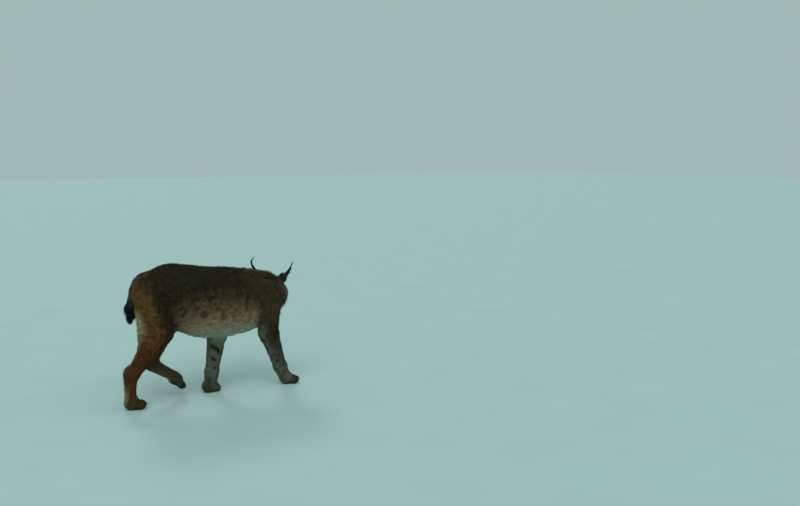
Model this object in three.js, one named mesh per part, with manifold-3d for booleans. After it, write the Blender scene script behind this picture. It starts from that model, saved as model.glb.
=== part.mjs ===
// Eurasian lynx, a still, life-size model caught in mid-walk with its head turned to its left.
// Millimetres, +X towards the head, +Y to the animal's left, +Z up, standing on the floor at Z = 0.
//
// The flesh is one smooth field, blended from tapered bones and balls that are set on a skeleton.
// Each named piece is the field's surface, meshed finely enough for that piece, and parted from its
// neighbours by thin cuts. Ears, nose, lids and locks are shapes of their own.
import * as THREE from "three";
import { mergeVertices } from "three/addons/utils/BufferGeometryUtils.js";
import Module from "manifold-3d";

const wasm = await Module();
wasm.setup();

const rad = THREE.MathUtils.degToRad;
const { clamp, lerp } = THREE.MathUtils;
const vec = (x, y, z) => new THREE.Vector3(x, y, z);

// Driving sizes: lengths of the bones, the same on both sides.
const FEMUR = 210;
const TIBIA = 222;
const HIND_FOOT = 139;
const HUMERUS = 188;
const RADIUS = 208;
const PALM = 54;
const GAP = 0.3; // between neighbouring pieces

// The pose: where each limb hangs from, and how far each bone swings forward of straight down and
// splays outward, in degrees. The right hind, left fore and right fore paws stand on the floor.
const LIMBS = {
  right_hind: {
    side: -1,
    from: vec(84, -50, 556),
    lengths: [FEMUR, TIBIA, HIND_FOOT],
    swing: [13.5, -36, -8],
    splay: [3.8, -3.5, -0.8],
    pawPitch: 0,
    pawYaw: 0,
    pawShift: 13,
  },
  left_hind: {
    side: 1,
    from: vec(104, 50, 556),
    lengths: [FEMUR, TIBIA, HIND_FOOT],
    swing: [35.3, -30.5, 51],
    splay: [3.8, -4.5, -1.5],
    pawPitch: 42,
    pawYaw: 0,
    pawShift: 30,
  },
  right_fore: {
    side: -1,
    from: vec(712, -66, 477),
    lengths: [HUMERUS, RADIUS, PALM],
    swing: [-6, 20, 24],
    splay: [0, -3.7, 0],
    pawPitch: 0,
    pawYaw: 0,
    pawShift: 22,
  },
  left_fore: {
    side: 1,
    from: vec(589, 66, 436),
    lengths: [HUMERUS, RADIUS, PALM],
    swing: [-40, -13, -8],
    splay: [-2, -6.8, -3],
    pawPitch: 0,
    pawYaw: 24,
    pawShift: -8,
  },
};

const HEAD_AT = vec(774, 60, 487);
const HEAD_YAW = 48; // to the left
const HEAD_PITCH = 12; // nose down
const HEAD_ROLL = 5; // right ear lower
const HEAD_SCALE = 1.08;
const EYE_RADIUS = 14;
const EYE_OPEN = [12.5, 8.5]; // half width and half height between the lids
const EYE_GAZE = 24; // each eye looks this far outward
const LID = 2.2;
const LIP = 3.6;

// Trunk: station along the body, top line, bottom line and half width there.
const TRUNK = [
  [60, 590, 488, 54],
  [108, 634, 440, 78],
  [180, 670, 384, 92],
  [270, 662, 319, 98],
  [360, 648, 288, 106],
  [450, 638, 278, 110],
  [530, 628, 282, 110],
  [610, 606, 294, 102],
  [680, 580, 320, 86],
  [722, 552, 348, 68],
];
const TRUNK_REAR = 36; // how far each end is rounded beyond its last station
const TRUNK_FRONT = 42;

// The tail hangs: centre and radius from root to tip. The black brush grows from its last length.
const TAIL = [
  [vec(56, 0, 582), 33],
  [vec(36, 0, 548), 30],
  [vec(24, 0, 504), 25],
  [vec(14, 0, 442), 15],
];
const BRUSH = { tiers: 3, each: 4, length: 52, width: 32, thick: 9 };

// The ruff: rows of locks on each cheek, from under the ear to beside the chin.
const RUFF = { rows: [-8, -36], each: 7, length: 50, width: 27, thick: 7 };
const EAR_TUFT = { locks: 3, length: 40, width: 8, thick: 4 };
const EAR_LEAN = { right: 34, left: 41 }; // outward from upright

// The skeleton, joint by joint.
function jointsOf({ side, from, lengths, swing, splay }) {
  const joints = [from.clone()];
  lengths.forEach((length, i) => {
    const a = rad(swing[i]);
    const b = rad(splay[i]);
    const step = vec(Math.sin(a) * Math.cos(b), side * Math.sin(b), -Math.cos(a) * Math.cos(b));
    joints.push(joints[i].clone().addScaledVector(step, length));
  });
  return joints;
}

const headFrame = new THREE.Matrix4().compose(
  HEAD_AT,
  new THREE.Quaternion().setFromEuler(
    new THREE.Euler(rad(HEAD_ROLL), rad(HEAD_PITCH), rad(HEAD_YAW), "ZYX"),
  ),
  vec(HEAD_SCALE, HEAD_SCALE, HEAD_SCALE),
);
const headFrameBack = headFrame.clone().invert();

// Distance shapes. Each returns a rough signed distance from the point to its surface.
function blend(a, b, k) {
  const h = Math.max(k - Math.abs(a - b), 0) / k;
  return Math.min(a, b) - (h * h * k) / 4;
}

// A tapered bone between two joints; flat > 1 makes it narrower from side to side.
function bone(a, b, ra, rb, flat = 1) {
  const axis = b.clone().sub(a);
  const squared = axis.lengthSq();
  return (p) => {
    const x = p.x - a.x;
    const y = p.y - a.y;
    const z = p.z - a.z;
    const t = clamp((x * axis.x + y * axis.y + z * axis.z) / squared, 0, 1);
    const off = Math.hypot(x - t * axis.x, (y - t * axis.y) * flat, z - t * axis.z);
    return (off - lerp(ra, rb, t)) / Math.sqrt(flat);
  };
}

function ball(centre, radii, turn) {
  const back = turn ? new THREE.Matrix4().makeRotationFromEuler(turn).invert() : null;
  const q = new THREE.Vector3();
  return (p) => {
    q.copy(p).sub(centre);
    if (back) q.applyMatrix4(back);
    const near = Math.hypot(q.x / radii[0], q.y / radii[1], q.z / radii[2]);
    const slope = Math.hypot(q.x / radii[0] ** 2, q.y / radii[1] ** 2, q.z / radii[2] ** 2);
    return slope > 1e-9 ? (near * (near - 1)) / slope : -Math.min(...radii);
  };
}

function joined(shapes, k) {
  return (p) => shapes.reduce((sum, shape) => (sum === null ? shape(p) : blend(sum, shape(p), k)), null);
}

// A smooth curve through the trunk's stations, as [top, bottom, half width] at x.
function stationAt(x) {
  const last = TRUNK.length - 1;
  const at = clamp(x, TRUNK[0][0], TRUNK[last][0]);
  let i = 0;
  while (i < last - 1 && at > TRUNK[i + 1][0]) i += 1;
  const span = TRUNK[i + 1][0] - TRUNK[i][0];
  const t = (at - TRUNK[i][0]) / span;
  return [1, 2, 3].map((c) => {
    const slope = (j) => {
      const before = TRUNK[Math.max(j - 1, 0)];
      const after = TRUNK[Math.min(j + 1, last)];
      return (after[c] - before[c]) / (after[0] - before[0]);
    };
    const [a, b] = [TRUNK[i][c], TRUNK[i + 1][c]];
    const [ma, mb] = [slope(i) * span, slope(i + 1) * span];
    const t2 = t * t;
    const t3 = t2 * t;
    return (2 * t3 - 3 * t2 + 1) * a + (t3 - 2 * t2 + t) * ma + (3 * t2 - 2 * t3) * b + (t3 - t2) * mb;
  });
}

function trunk(p) {
  const [top, bottom, half] = stationAt(p.x);
  const tall = (top - bottom) / 2;
  const dz = p.z - (top + bottom) / 2;
  const over = Math.max(TRUNK[0][0] - p.x, 0) / TRUNK_REAR;
  const ahead = Math.max(p.x - TRUNK[TRUNK.length - 1][0], 0) / TRUNK_FRONT;
  const w = Math.max(over, ahead);
  const end = over > 0 ? TRUNK_REAR : TRUNK_FRONT;
  // the cross-section is an egg, widest a little below the middle
  const wide = half * (1 - 0.16 * clamp(dz / tall, -1, 1));
  const near = Math.hypot(p.y / wide, dz / tall, w);
  const slope = Math.hypot(p.y / wide ** 2, dz / tall ** 2, w / end);
  return slope > 1e-9 ? (near * (near - 1)) / slope : -half;
}

// Flesh of a limb, above the paw.
function hindFlesh({ side }, [hip, knee, hock, toe]) {
  const ischium = vec(hip.x - 8, side * 46, hip.z - 34);
  const calf = vec(lerp(knee.x, hock.x, 0.5) + 2, knee.y * 0.94, lerp(knee.z, hock.z, 0.34));
  const heel = hock.clone().add(vec(-18, 0, 2));
  return joined(
    [
      bone(hip.clone().add(vec(12, 0, -10)), knee, 90, 62, 1.6),
      bone(ischium, calf, 62, 46, 1.4),
      bone(knee, hock, 56, 36, 1.25),
      bone(heel, toe, 32, 29, 1.1),
    ],
    26,
  );
}

function foreFlesh({ side }, [shoulder, elbow, wrist, palm]) {
  const blade = vec(lerp(shoulder.x, 600, 0.75), side * 52, 548);
  return joined(
    [
      bone(blade, shoulder, 54, 60, 1.6),
      bone(shoulder, elbow, 68, 52, 1.4),
      bone(elbow, wrist, 51, 33, 1.15),
      bone(wrist, palm, 33, 32, 1),
    ],
    26,
  );
}

// A broad, furred paw: its own frame has the floor at z = 0, the toes towards +x.
const PAW_TOES = [
  [21, -31, 18],
  [34, -12, 20],
  [34, 12, 20],
  [21, 31, 18],
];

function pawFrame({ pawPitch, pawYaw, pawShift }, palm) {
  const frame = new THREE.Matrix4().makeRotationZ(rad(pawYaw));
  frame.multiply(new THREE.Matrix4().makeRotationY(rad(pawPitch)));
  const foot = pawPitch ? palm.clone() : vec(palm.x, palm.y, 0);
  const shift = vec(pawShift, 0, pawPitch ? -28 : 0).applyMatrix4(frame);
  return frame.setPosition(foot.add(shift));
}

function pawFlesh(frame) {
  const back = frame.clone().invert();
  const q = new THREE.Vector3();
  const local = joined(
    [
      ball(vec(-4, 0, 27), [39, 38, 31]),
      ...PAW_TOES.map(([x, y, z]) => ball(vec(x, y, z), [27, 14.5, z])),
    ],
    9,
  );
  return (p) => {
    q.copy(p).applyMatrix4(back);
    return local(q);
  };
}

const limbs = Object.entries(LIMBS).map(([name, limb]) => {
  const joints = jointsOf(limb);
  const flesh = name.endsWith("hind") ? hindFlesh(limb, joints) : foreFlesh(limb, joints);
  const frame = pawFrame(limb, joints[3]);
  const paw = pawFlesh(frame);
  const field = (p) => blend(flesh(p), paw(p), 20);
  return { name, ...limb, joints, flesh, frame, field };
});

const neck = joined(
  [
    bone(vec(620, 0, 508), vec(712, 25, 508), 96, 78, 1.15),
    bone(vec(690, 0, 428), vec(742, 34, 452), 74, 58, 1.1),
  ],
  40,
);

const tail = joined(
  TAIL.slice(1).map(([b, rb], i) => bone(TAIL[i][0], b, TAIL[i][1], rb)),
  10,
);

// The head in its own frame: +x to the nose, +y to its left, +z to the crown.
const bothSides = (make) => [make(-1), make(1)];
const EYES = bothSides((side) => vec(38, side * 32, 8));
const headLocal = joined(
  [
    ball(vec(-22, 0, 14), [68, 58, 54]),
    ball(vec(26, 0, 20), [40, 42, 32]),
    bone(vec(38, 0, 18), vec(84, 0, -4), 18, 14),
    ball(vec(60, 0, -22), [36, 27, 24]),
    ball(vec(66, 0, -46), [20, 17, 12]),
    ball(vec(-24, 0, -46), [50, 50, 36]),
    ...bothSides((side) => ball(vec(72, side * 15, -24), [20, 17, 15])),
    ...bothSides((side) => bone(vec(-12, side * 36, -40), vec(52, side * 12, -44), 22, 14)),
    ...bothSides((side) => bone(vec(4, side * 44, -10), vec(50, side * 20, -20), 30, 18)),
    ...bothSides((side) => ball(vec(-16, side * 60, -16), [42, 36, 50])),
    ...bothSides((side) => ball(vec(-26, side * 46, 34), [28, 26, 26])),
    ...EYES.map((at) => ball(at, [18, 18, 18])),
  ],
  16,
);

const inHead = new THREE.Vector3();
const head = (p) => headLocal(inHead.copy(p).applyMatrix4(headFrameBack));

const core = (p) => blend(trunk(p), neck(p), 44);
const body = (p) => {
  let sum = blend(core(p), head(p), 24);
  limbs.forEach((limb) => {
    sum = blend(sum, limb.field(p), 36);
  });
  return blend(sum, tail(p), 14);
};

// Meshing a field: one vertex in every grid cell that the surface crosses, drawn onto the surface.
function gridLines(low, high, cell) {
  const lines = [low];
  while (lines[lines.length - 1] < high) {
    const at = lines[lines.length - 1];
    lines.push(at + (typeof cell === "function" ? cell(at) : cell));
  }
  return lines;
}

function skin(field, low, high, cells, frame) {
  const place = frame || new THREE.Matrix4();
  const [xs, ys, zs] = [0, 1, 2].map((i) => gridLines(low[i], high[i], cells[i]));
  const [nx, ny, nz] = [xs.length, ys.length, zs.length];
  const p = new THREE.Vector3();
  const at = (x, y, z) => field(p.set(x, y, z).applyMatrix4(place));
  const value = new Float64Array(nx * ny * nz);
  const node = (i, j, k) => (i * ny + j) * nz + k;
  for (let i = 0; i < nx; i += 1) {
    for (let j = 0; j < ny; j += 1) {
      for (let k = 0; k < nz; k += 1) {
        const rim = i * j * k === 0 || i === nx - 1 || j === ny - 1 || k === nz - 1;
        const v = at(xs[i], ys[j], zs[k]);
        value[node(i, j, k)] = rim ? Math.max(v, 1e-3) : v;
      }
    }
  }
  const vertexOf = new Int32Array(nx * ny * nz).fill(-1);
  const points = [];
  const corners = [0, 1, 2, 3, 4, 5, 6, 7].map((c) => [c & 1, (c >> 1) & 1, (c >> 2) & 1]);
  for (let i = 0; i < nx - 1; i += 1) {
    for (let j = 0; j < ny - 1; j += 1) {
      for (let k = 0; k < nz - 1; k += 1) {
        const here = corners.map(([a, b, c]) => value[node(i + a, j + b, k + c)]);
        const inside = here.filter((v) => v < 0).length;
        if (inside === 0 || inside === 8) continue;
        const sum = vec(0, 0, 0);
        let count = 0;
        for (let c = 0; c < 8; c += 1) {
          for (const bit of [1, 2, 4]) {
            const d = c | bit;
            if (d === c || here[c] < 0 === here[d] < 0) continue;
            const t = here[c] / (here[c] - here[d]);
            const mix = (axis, lines, start) =>
              lerp(lines[start + corners[c][axis]], lines[start + corners[d][axis]], t);
            sum.add(vec(mix(0, xs, i), mix(1, ys, j), mix(2, zs, k)));
            count += 1;
          }
        }
        vertexOf[node(i, j, k)] = points.length;
        const low3 = vec(xs[i], ys[j], zs[k]);
        const high3 = vec(xs[i + 1], ys[j + 1], zs[k + 1]);
        points.push(drawn(sum.divideScalar(count), at, low3, high3));
      }
    }
  }
  const faces = [];
  const quad = (a, b, c, d, flip) => {
    const [q, r, s, t] = (flip ? [d, c, b, a] : [a, b, c, d]).map((n) => vertexOf[n]);
    const even = points[q].distanceTo(points[s]) <= points[r].distanceTo(points[t]);
    faces.push(...(even ? [q, r, s, q, s, t] : [q, r, t, r, s, t]));
  };
  for (let i = 0; i < nx - 1; i += 1) {
    for (let j = 0; j < ny - 1; j += 1) {
      for (let k = 0; k < nz - 1; k += 1) {
        const v = value[node(i, j, k)] < 0;
        if (j && k && v !== value[node(i + 1, j, k)] < 0) {
          quad(node(i, j - 1, k - 1), node(i, j, k - 1), node(i, j, k), node(i, j - 1, k), !v);
        }
        if (i && k && v !== value[node(i, j + 1, k)] < 0) {
          quad(node(i - 1, j, k - 1), node(i - 1, j, k), node(i, j, k), node(i, j, k - 1), !v);
        }
        if (i && j && v !== value[node(i, j, k + 1)] < 0) {
          quad(node(i - 1, j - 1, k), node(i, j - 1, k), node(i, j, k), node(i - 1, j, k), !v);
        }
      }
    }
  }
  const geometry = new THREE.BufferGeometry().setFromPoints(points);
  return geometry.setIndex(faces).applyMatrix4(place);
}

// Draws a point onto the field's surface in a few steps, staying close to its own grid cell.
function drawn(point, at, low, high) {
  const room = high.clone().sub(low).multiplyScalar(0.15);
  const step = 0.5;
  for (let n = 0; n < 4; n += 1) {
    const here = at(point.x, point.y, point.z);
    const slope = vec(
      at(point.x + step, point.y, point.z) - at(point.x - step, point.y, point.z),
      at(point.x, point.y + step, point.z) - at(point.x, point.y - step, point.z),
      at(point.x, point.y, point.z + step) - at(point.x, point.y, point.z - step),
    ).divideScalar(2 * step);
    const steep = Math.max(slope.lengthSq(), 0.05);
    point.addScaledVector(slope, -here / steep);
    point.clamp(low.clone().sub(room), high.clone().add(room));
  }
  return point;
}

// Solids, joining and cutting.
function solidOf(geometry) {
  const bare = geometry.clone();
  bare.deleteAttribute("normal");
  bare.deleteAttribute("uv");
  const merged = mergeVertices(bare, 1e-4);
  const mesh = new wasm.Mesh({
    numProp: 3,
    vertProperties: new Float32Array(merged.attributes.position.array),
    triVerts: new Uint32Array(merged.index.array),
  });
  return new wasm.Manifold(mesh);
}

function geometryOf(solid) {
  const mesh = solid.getMesh();
  const positions = new Float32Array(mesh.numVert * 3);
  for (let i = 0; i < mesh.numVert; i += 1) {
    for (let c = 0; c < 3; c += 1) positions[3 * i + c] = mesh.vertProperties[mesh.numProp * i + c];
  }
  const geometry = new THREE.BufferGeometry();
  geometry.setAttribute("position", new THREE.BufferAttribute(positions, 3));
  return geometry.setIndex(new THREE.BufferAttribute(new Uint32Array(mesh.triVerts), 1));
}

function largest(solid) {
  return solid.decompose().reduce((a, b) => (b.volume() > a.volume() ? b : a));
}

// Closes the edges too short to matter that cuts leave behind.
function withoutSlivers(solid, shortest = 0.03) {
  const geometry = geometryOf(solid);
  const at = geometry.attributes.position;
  const points = Array.from({ length: at.count }, (_, i) => new THREE.Vector3().fromBufferAttribute(at, i));
  const faces = geometry.index.array;
  const same = points.map((_, i) => i);
  const find = (i) => {
    let n = i;
    while (same[n] !== n) n = same[n];
    return n;
  };
  for (let f = 0; f < faces.length; f += 3) {
    for (let c = 0; c < 3; c += 1) {
      const [a, b] = [faces[f + c], faces[f + ((c + 1) % 3)]];
      if (points[a].distanceTo(points[b]) < shortest) same[find(a)] = find(b);
    }
  }
  const kept = new Map();
  for (let f = 0; f < faces.length; f += 3) {
    const face = [0, 1, 2].map((c) => find(faces[f + c]));
    const key = [...face].sort((a, b) => a - b).join(" ");
    if (new Set(face).size < 3) continue;
    if (kept.has(key)) kept.delete(key);
    else kept.set(key, face);
  }
  const tidy = new THREE.BufferGeometry().setFromPoints(points);
  return largest(solidOf(tidy.setIndex([...kept.values()].flat())));
}

// The same surface pushed outward.
function grown(geometry, by) {
  const out = geometry.clone();
  out.computeVertexNormals();
  const at = out.attributes.position;
  const normal = out.attributes.normal;
  for (let i = 0; i < at.count; i += 1) {
    at.setXYZ(
      i,
      at.getX(i) + by * normal.getX(i),
      at.getY(i) + by * normal.getY(i),
      at.getZ(i) + by * normal.getZ(i),
    );
  }
  return out;
}

// Everything on the far side of a plane, past half the gap.
function beyond(point, normal, past = GAP / 2) {
  const size = 2400;
  const block = new THREE.BoxGeometry(size, size, size).translate(0, 0, size / 2 + past);
  const turn = new THREE.Quaternion().setFromUnitVectors(vec(0, 0, 1), normal.clone().normalize());
  return solidOf(block.applyQuaternion(turn).translate(point.x, point.y, point.z));
}

const floorUp = beyond(vec(0, 0, 0), vec(0, 0, 1), 0);

function together(solids) {
  return solids.reduce((sum, solid) => sum.add(solid));
}

// A repeatable draw between -1 and 1.
const draw = (n) => {
  const turn = Math.sin(n * 127.1 + 11.7) * 43758.5453;
  return 2 * (turn - Math.floor(turn)) - 1;
};

// Where a ray that starts inside the field leaves it.
function leaves(field, from, way) {
  let [near, far] = [0, 160];
  for (let n = 0; n < 20; n += 1) {
    const half = (near + far) / 2;
    if (field(from.clone().addScaledVector(way, half)) < 0) near = half;
    else far = half;
  }
  return from.clone().addScaledVector(way, near);
}

// A flat, tapered lock: it leaves its root along `lie`, bends towards `fall` and ends in a point.
// Its flat side faces `up`.
function lock(root, lie, fall, up, { length, width, thick }) {
  const steps = 3;
  const at = root.clone();
  const points = [];
  for (let i = 0; i < steps; i += 1) {
    const t = i / steps;
    const way = lie.clone().lerp(fall, t).normalize();
    const across = way.clone().cross(up).normalize();
    const above = across.clone().cross(way);
    const swell = Math.sin(Math.PI * (0.28 + 0.72 * t)) ** 0.8;
    for (const [direction, size] of [[across, width], [above, thick], [across, -width], [above, -thick]]) {
      points.push(at.clone().addScaledVector(direction, (size / 2) * swell));
    }
    at.addScaledVector(way, length / steps);
  }
  const tip = points.push(at) - 1;
  const faces = [0, 1, 2, 0, 2, 3];
  for (let i = 0; i < steps; i += 1) {
    for (let n = 0; n < 4; n += 1) {
      const [a, b] = [4 * i + n, 4 * i + ((n + 1) % 4)];
      if (i < steps - 1) faces.push(a, a + 4, b, b, a + 4, b + 4);
      else faces.push(a, tip, b);
    }
  }
  return new THREE.BufferGeometry().setFromPoints(points).setIndex(faces);
}

// A tube of three or more sides along a path, for lids, lips and the line of the mouth.
function tube(path, radius, sides = 5, closed = false) {
  const curve = new THREE.CatmullRomCurve3(path, closed);
  return new THREE.TubeGeometry(curve, path.length * 2 - (closed ? 0 : 2), radius, sides, closed);
}

// Closes an open tube's two ends.
function closedTube(geometry) {
  const { tubularSegments, radialSegments } = geometry.parameters;
  const faces = [...geometry.index.array];
  const last = tubularSegments * (radialSegments + 1);
  for (let n = 1; n < radialSegments - 1; n += 1) {
    faces.push(0, n, n + 1);
    faces.push(last, last + n + 1, last + n);
  }
  const shut = geometry.clone();
  return shut.setIndex(faces);
}

const group = new THREE.Group();

const COAT = { back: 0x6f5d48, leg: 0x8a7259, pale: 0xb9ab97, black: 0x17130f, skin: 0x5b4038 };

function add(name, solid, color, roughness = 0.9) {
  const material = new THREE.MeshStandardMaterial({ color, roughness, metalness: 0 });
  const mesh = new THREE.Mesh(geometryOf(withoutSlivers(largest(solid))), material);
  mesh.name = name;
  group.add(mesh);
  return mesh;
}

// Cuts between a limb and the trunk: where the limb's own flesh lies nearer than the trunk's.
function rootCut({ name, field, side, joints }) {
  const hind = name.endsWith("hind");
  const [low, high] = hind
    ? [[-80, side < 0 ? -190 : -10, -40], [340, side < 0 ? 10 : 190, 690]]
    : [[joints[0].x - 270, side < 0 ? -190 : -10, -40], [joints[0].x + 200, side < 0 ? 10 : 190, 690]];
  const between = (p) => {
    const nearer = field(p) - core(p) - 18;
    const own = GAP - side * p.y;
    const roof = p.z - (hind ? 610 : 590);
    const clear = field(p) - head(p) + 4;
    return Math.max(nearer, own, roof, clear) * 0.6;
  };
  return skin(between, low, high, [44, 34, 44]);
}

const cuts = limbs.map((limb) => rootCut(limb));
const inner = cuts.map((cut) => solidOf(cut));
const outer = cuts.map((cut) => solidOf(grown(cut, 2 * GAP)));

// Tail: a brown root and a black brush.
const tailSkin = skin(tail, [-40, -60, 380], [110, 60, 650], [13, 13, 18]);
const tailWhole = solidOf(tailSkin);
const tailRoot = [vec(44, 0, 566), vec(-0.55, 0, -0.85)];
const tailBlack = [vec(20, 0, 512), vec(0, 0, -1)];
const tailHanging = tailWhole.intersect(beyond(...tailRoot));
const tailGrown = solidOf(grown(tailSkin, 2 * GAP)).intersect(beyond(...tailRoot, -GAP));
add("tail", tailHanging.subtract(beyond(...tailBlack, -GAP / 2)), COAT.back);

// The brush: tiers of locks round the black length, that splay a little and then hang.
const rump = (p) => limbs.slice(0, 2).reduce((sum, limb) => blend(sum, limb.field(p), 36), core(p));
const rumpGrown = solidOf(grown(skin(rump, [-70, -90, 380], [160, 90, 600], [14, 14, 16]), 3));
const brush = [];
for (let tier = 0; tier < BRUSH.tiers; tier += 1) {
  const along = (tier + 0.35) / BRUSH.tiers;
  const centre = TAIL[2][0].clone().lerp(TAIL[3][0], along);
  for (let n = 0; n < BRUSH.each; n += 1) {
    const seed = tier * BRUSH.each + n;
    const angle = ((n + 0.5 * (tier % 2) + 0.2 * draw(seed)) / BRUSH.each) * 2 * Math.PI;
    const out = vec(Math.cos(angle), Math.sin(angle), 0);
    const root = centre.clone().addScaledVector(out, lerp(TAIL[2][1], TAIL[3][1], along) - 9);
    const lie = out.clone().multiplyScalar(0.5).add(vec(-0.05, 0, -0.9));
    const fall = out.clone().multiplyScalar(-0.12).add(vec(-0.08, 0.1 * draw(seed + 50), -1));
    const length = BRUSH.length * (1 + 0.12 * draw(seed + 90));
    brush.push(solidOf(lock(root, lie, fall, out, { ...BRUSH, length })));
  }
}
const blackEnd = beyond(...tailBlack);
const brushClear = together(brush).subtract(rumpGrown).intersect(blackEnd);
add("tail_tip", tailHanging.intersect(blackEnd).add(brushClear), COAT.black);

// Trunk, neck and head share the field; planes part them.
const neckRoot = [vec(690, 0, 507), vec(0.82, 0.06, 0.57)];
const headNormal = vec(1, 0, -0.12).transformDirection(headFrame);
const headRoot = [vec(-66, 0, 0).applyMatrix4(headFrame), headNormal];
const headSide = (by) => {
  const cheek = new THREE.SphereGeometry(1, 20, 14).scale(56 - by, 54 - by, 66 - by).translate(-16, 58, -30);
  const ahead = beyond(...headRoot, by);
  return ahead.intersect(beyond(...neckRoot, by)).add(solidOf(cheek.applyMatrix4(headFrame)).intersect(ahead));
};

let torso = solidOf(skin(body, [-60, -150, 240], [800, 150, 720], [54, 37, 42]));
torso = torso.subtract(beyond(...neckRoot, -GAP / 2)).subtract(headSide(0)).subtract(tailGrown);
outer.forEach((cut) => {
  torso = torso.subtract(cut);
});
add("torso", torso, COAT.back);

let neckPiece = solidOf(skin(body, [560, -150, 320], [860, 190, 680], [26, 26, 26]));
neckPiece = neckPiece.intersect(beyond(...neckRoot)).subtract(beyond(...headRoot, -GAP));
outer.forEach((cut) => {
  neckPiece = neckPiece.subtract(cut);
});
neckPiece = largest(neckPiece);
add("neck", neckPiece, COAT.back);

const faceCell = (x) => (x > 0 ? 11 : 18);
let headPiece = solidOf(skin(body, [-110, -120, -110], [130, 120, 90], [faceCell, 13, 12], headFrame));
headPiece = headPiece.intersect(headSide(2 * GAP));
outer.forEach((cut) => {
  headPiece = headPiece.subtract(cut);
});
headPiece = largest(headPiece);

// Eyes in sockets, seen through the almond between their lids.
EYES.forEach((at, i) => {
  const side = i ? 1 : -1;
  const gaze = new THREE.Matrix4().makeRotationZ(side * rad(EYE_GAZE));
  gaze.multiply(new THREE.Matrix4().makeRotationX(side * rad(12))).setPosition(at);
  const inSocket = headFrame.clone().multiply(gaze);
  const globe = (by) => new THREE.SphereGeometry(EYE_RADIUS + by, 12, 8).applyMatrix4(inSocket);
  const rim = Array.from({ length: 6 }, (_, n) => {
    const angle = (n / 6) * 2 * Math.PI;
    const y = EYE_OPEN[0] * Math.cos(angle);
    const z = EYE_OPEN[1] * Math.sin(angle) * (1 - 0.15 * Math.cos(angle) ** 2);
    return vec(Math.sqrt((EYE_RADIUS + 2) ** 2 - y * y - z * z), y, z);
  });
  const opening = new THREE.CylinderGeometry(1.35, 0.9, 22, 12).rotateZ(-Math.PI / 2).translate(13, 0, 0);
  opening.scale(1, EYE_OPEN[0], EYE_OPEN[1]).applyMatrix4(inSocket);
  headPiece = headPiece.subtract(solidOf(opening));
  headPiece = headPiece.add(solidOf(tube(rim, LID, 4, true).applyMatrix4(inSocket)));
  headPiece = headPiece.subtract(solidOf(globe(GAP)));
  add(side > 0 ? "left_eye" : "right_eye", solidOf(globe(0)), 0x8a7a3a, 0.15);
});

// The line of the mouth runs from the groove under the nose back along both sides of the muzzle.
const mouthAt = (angle, out) => {
  const way = vec(Math.cos(angle), Math.sin(angle), 0);
  const level = vec(44, 0, -37 - 4 * Math.sin(Math.abs(angle) * 2.2));
  return leaves(headLocal, level, way).addScaledVector(way, out);
};
const mouthPath = (out) => Array.from({ length: 7 }, (_, n) => mouthAt(((n - 3) / 3) * rad(84), out));
const lips = tube(mouthPath(-1.6), LIP, 4).applyMatrix4(headFrame);
const groove = tube(mouthPath(1.8), 1.8, 4).applyMatrix4(headFrame);
const philtrum = tube([vec(103, 0, -14), vec(97, 0, -24), mouthAt(0, 0.5)], 1.8, 4).applyMatrix4(headFrame);
headPiece = headPiece.add(solidOf(closedTube(lips))).subtract(solidOf(closedTube(groove)));
headPiece = headPiece.subtract(solidOf(closedTube(philtrum)));

// Nose leather, with its two nostrils.
const noseShape = (by) =>
  new THREE.SphereGeometry(1, 12, 8).scale(11 + by, 14 + by, 9 + by).translate(94, 0, -6);
headPiece = headPiece.subtract(solidOf(noseShape(GAP).applyMatrix4(headFrame)));
let nose = solidOf(noseShape(0).applyMatrix4(headFrame));
bothSides((side) => {
  const nostril = new THREE.SphereGeometry(1, 6, 5).scale(7, 3, 2.6).rotateZ(side * rad(38));
  nose = nose.subtract(solidOf(nostril.translate(101, side * 7.5, -7).applyMatrix4(headFrame)));
});
add("nose", nose, COAT.skin, 0.5);

// Ears: a cupped leaf on each side, lofted from crescent sections.
const EAR_HEIGHT = 86;
const EAR_HALF = 30;

function earShape(side, by = 0) {
  const rows = 6;
  const around = 12;
  const points = [];
  for (let r = 0; r <= rows; r += 1) {
    const v = r / rows;
    const height = v * (EAR_HEIGHT + by) - 10 - by;
    const half = EAR_HALF * Math.max(1 - v, 0.02) ** 0.62 * (0.8 + 0.2 * Math.min(v * 4, 1)) + 2 * by;
    const bow = 15 * (1 - 0.6 * v) * (half / EAR_HALF);
    for (let n = 0; n < around; n += 1) {
      const front = n < around / 2;
      const u = front ? lerp(-1, 1, n / (around / 2)) : lerp(1, -1, n / (around / 2) - 1);
      const arch = Math.sqrt(Math.max(1 - u * u, 0));
      const thick = lerp(7, 3.2, v) * Math.min(half / 12, 1);
      const hollow = by ? 0 : bow; // the pocket it stands in has no cup
      const x = front ? -hollow * arch + thick * 0.5 + by : -bow * arch - thick * (0.5 + arch) - by;
      points.push(vec(x, u * half, height));
    }
  }
  const faces = [];
  for (let r = 0; r < rows; r += 1) {
    for (let n = 0; n < around; n += 1) {
      const a = r * around + n;
      const b = r * around + ((n + 1) % around);
      faces.push(a, b, b + around, a, b + around, a + around);
    }
  }
  const top = rows * around;
  for (let n = 0; n < around / 2; n += 1) {
    const ring = [n, n + 1, around - n - 1, (around - n) % around];
    const [a, b, c, d] = ring;
    if (c !== b) {
      faces.push(a, c, b);
      faces.push(top + a, top + b, top + c);
    }
    if (d !== a) {
      faces.push(a, d, c);
      faces.push(top + a, top + c, top + d);
    }
  }
  return earPlaced(new THREE.BufferGeometry().setFromPoints(points).setIndex(faces), side);
}

// Sets a shape made in the ear's own frame on the head: turned out, leaned out and laid back.
function earPlaced(shape, side) {
  shape.rotateZ(side * rad(34));
  shape.rotateX(-side * rad(side < 0 ? EAR_LEAN.right : EAR_LEAN.left));
  shape.rotateY(rad(-6));
  return shape.translate(-22, side * 55, 48).applyMatrix4(headFrame);
}

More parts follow.
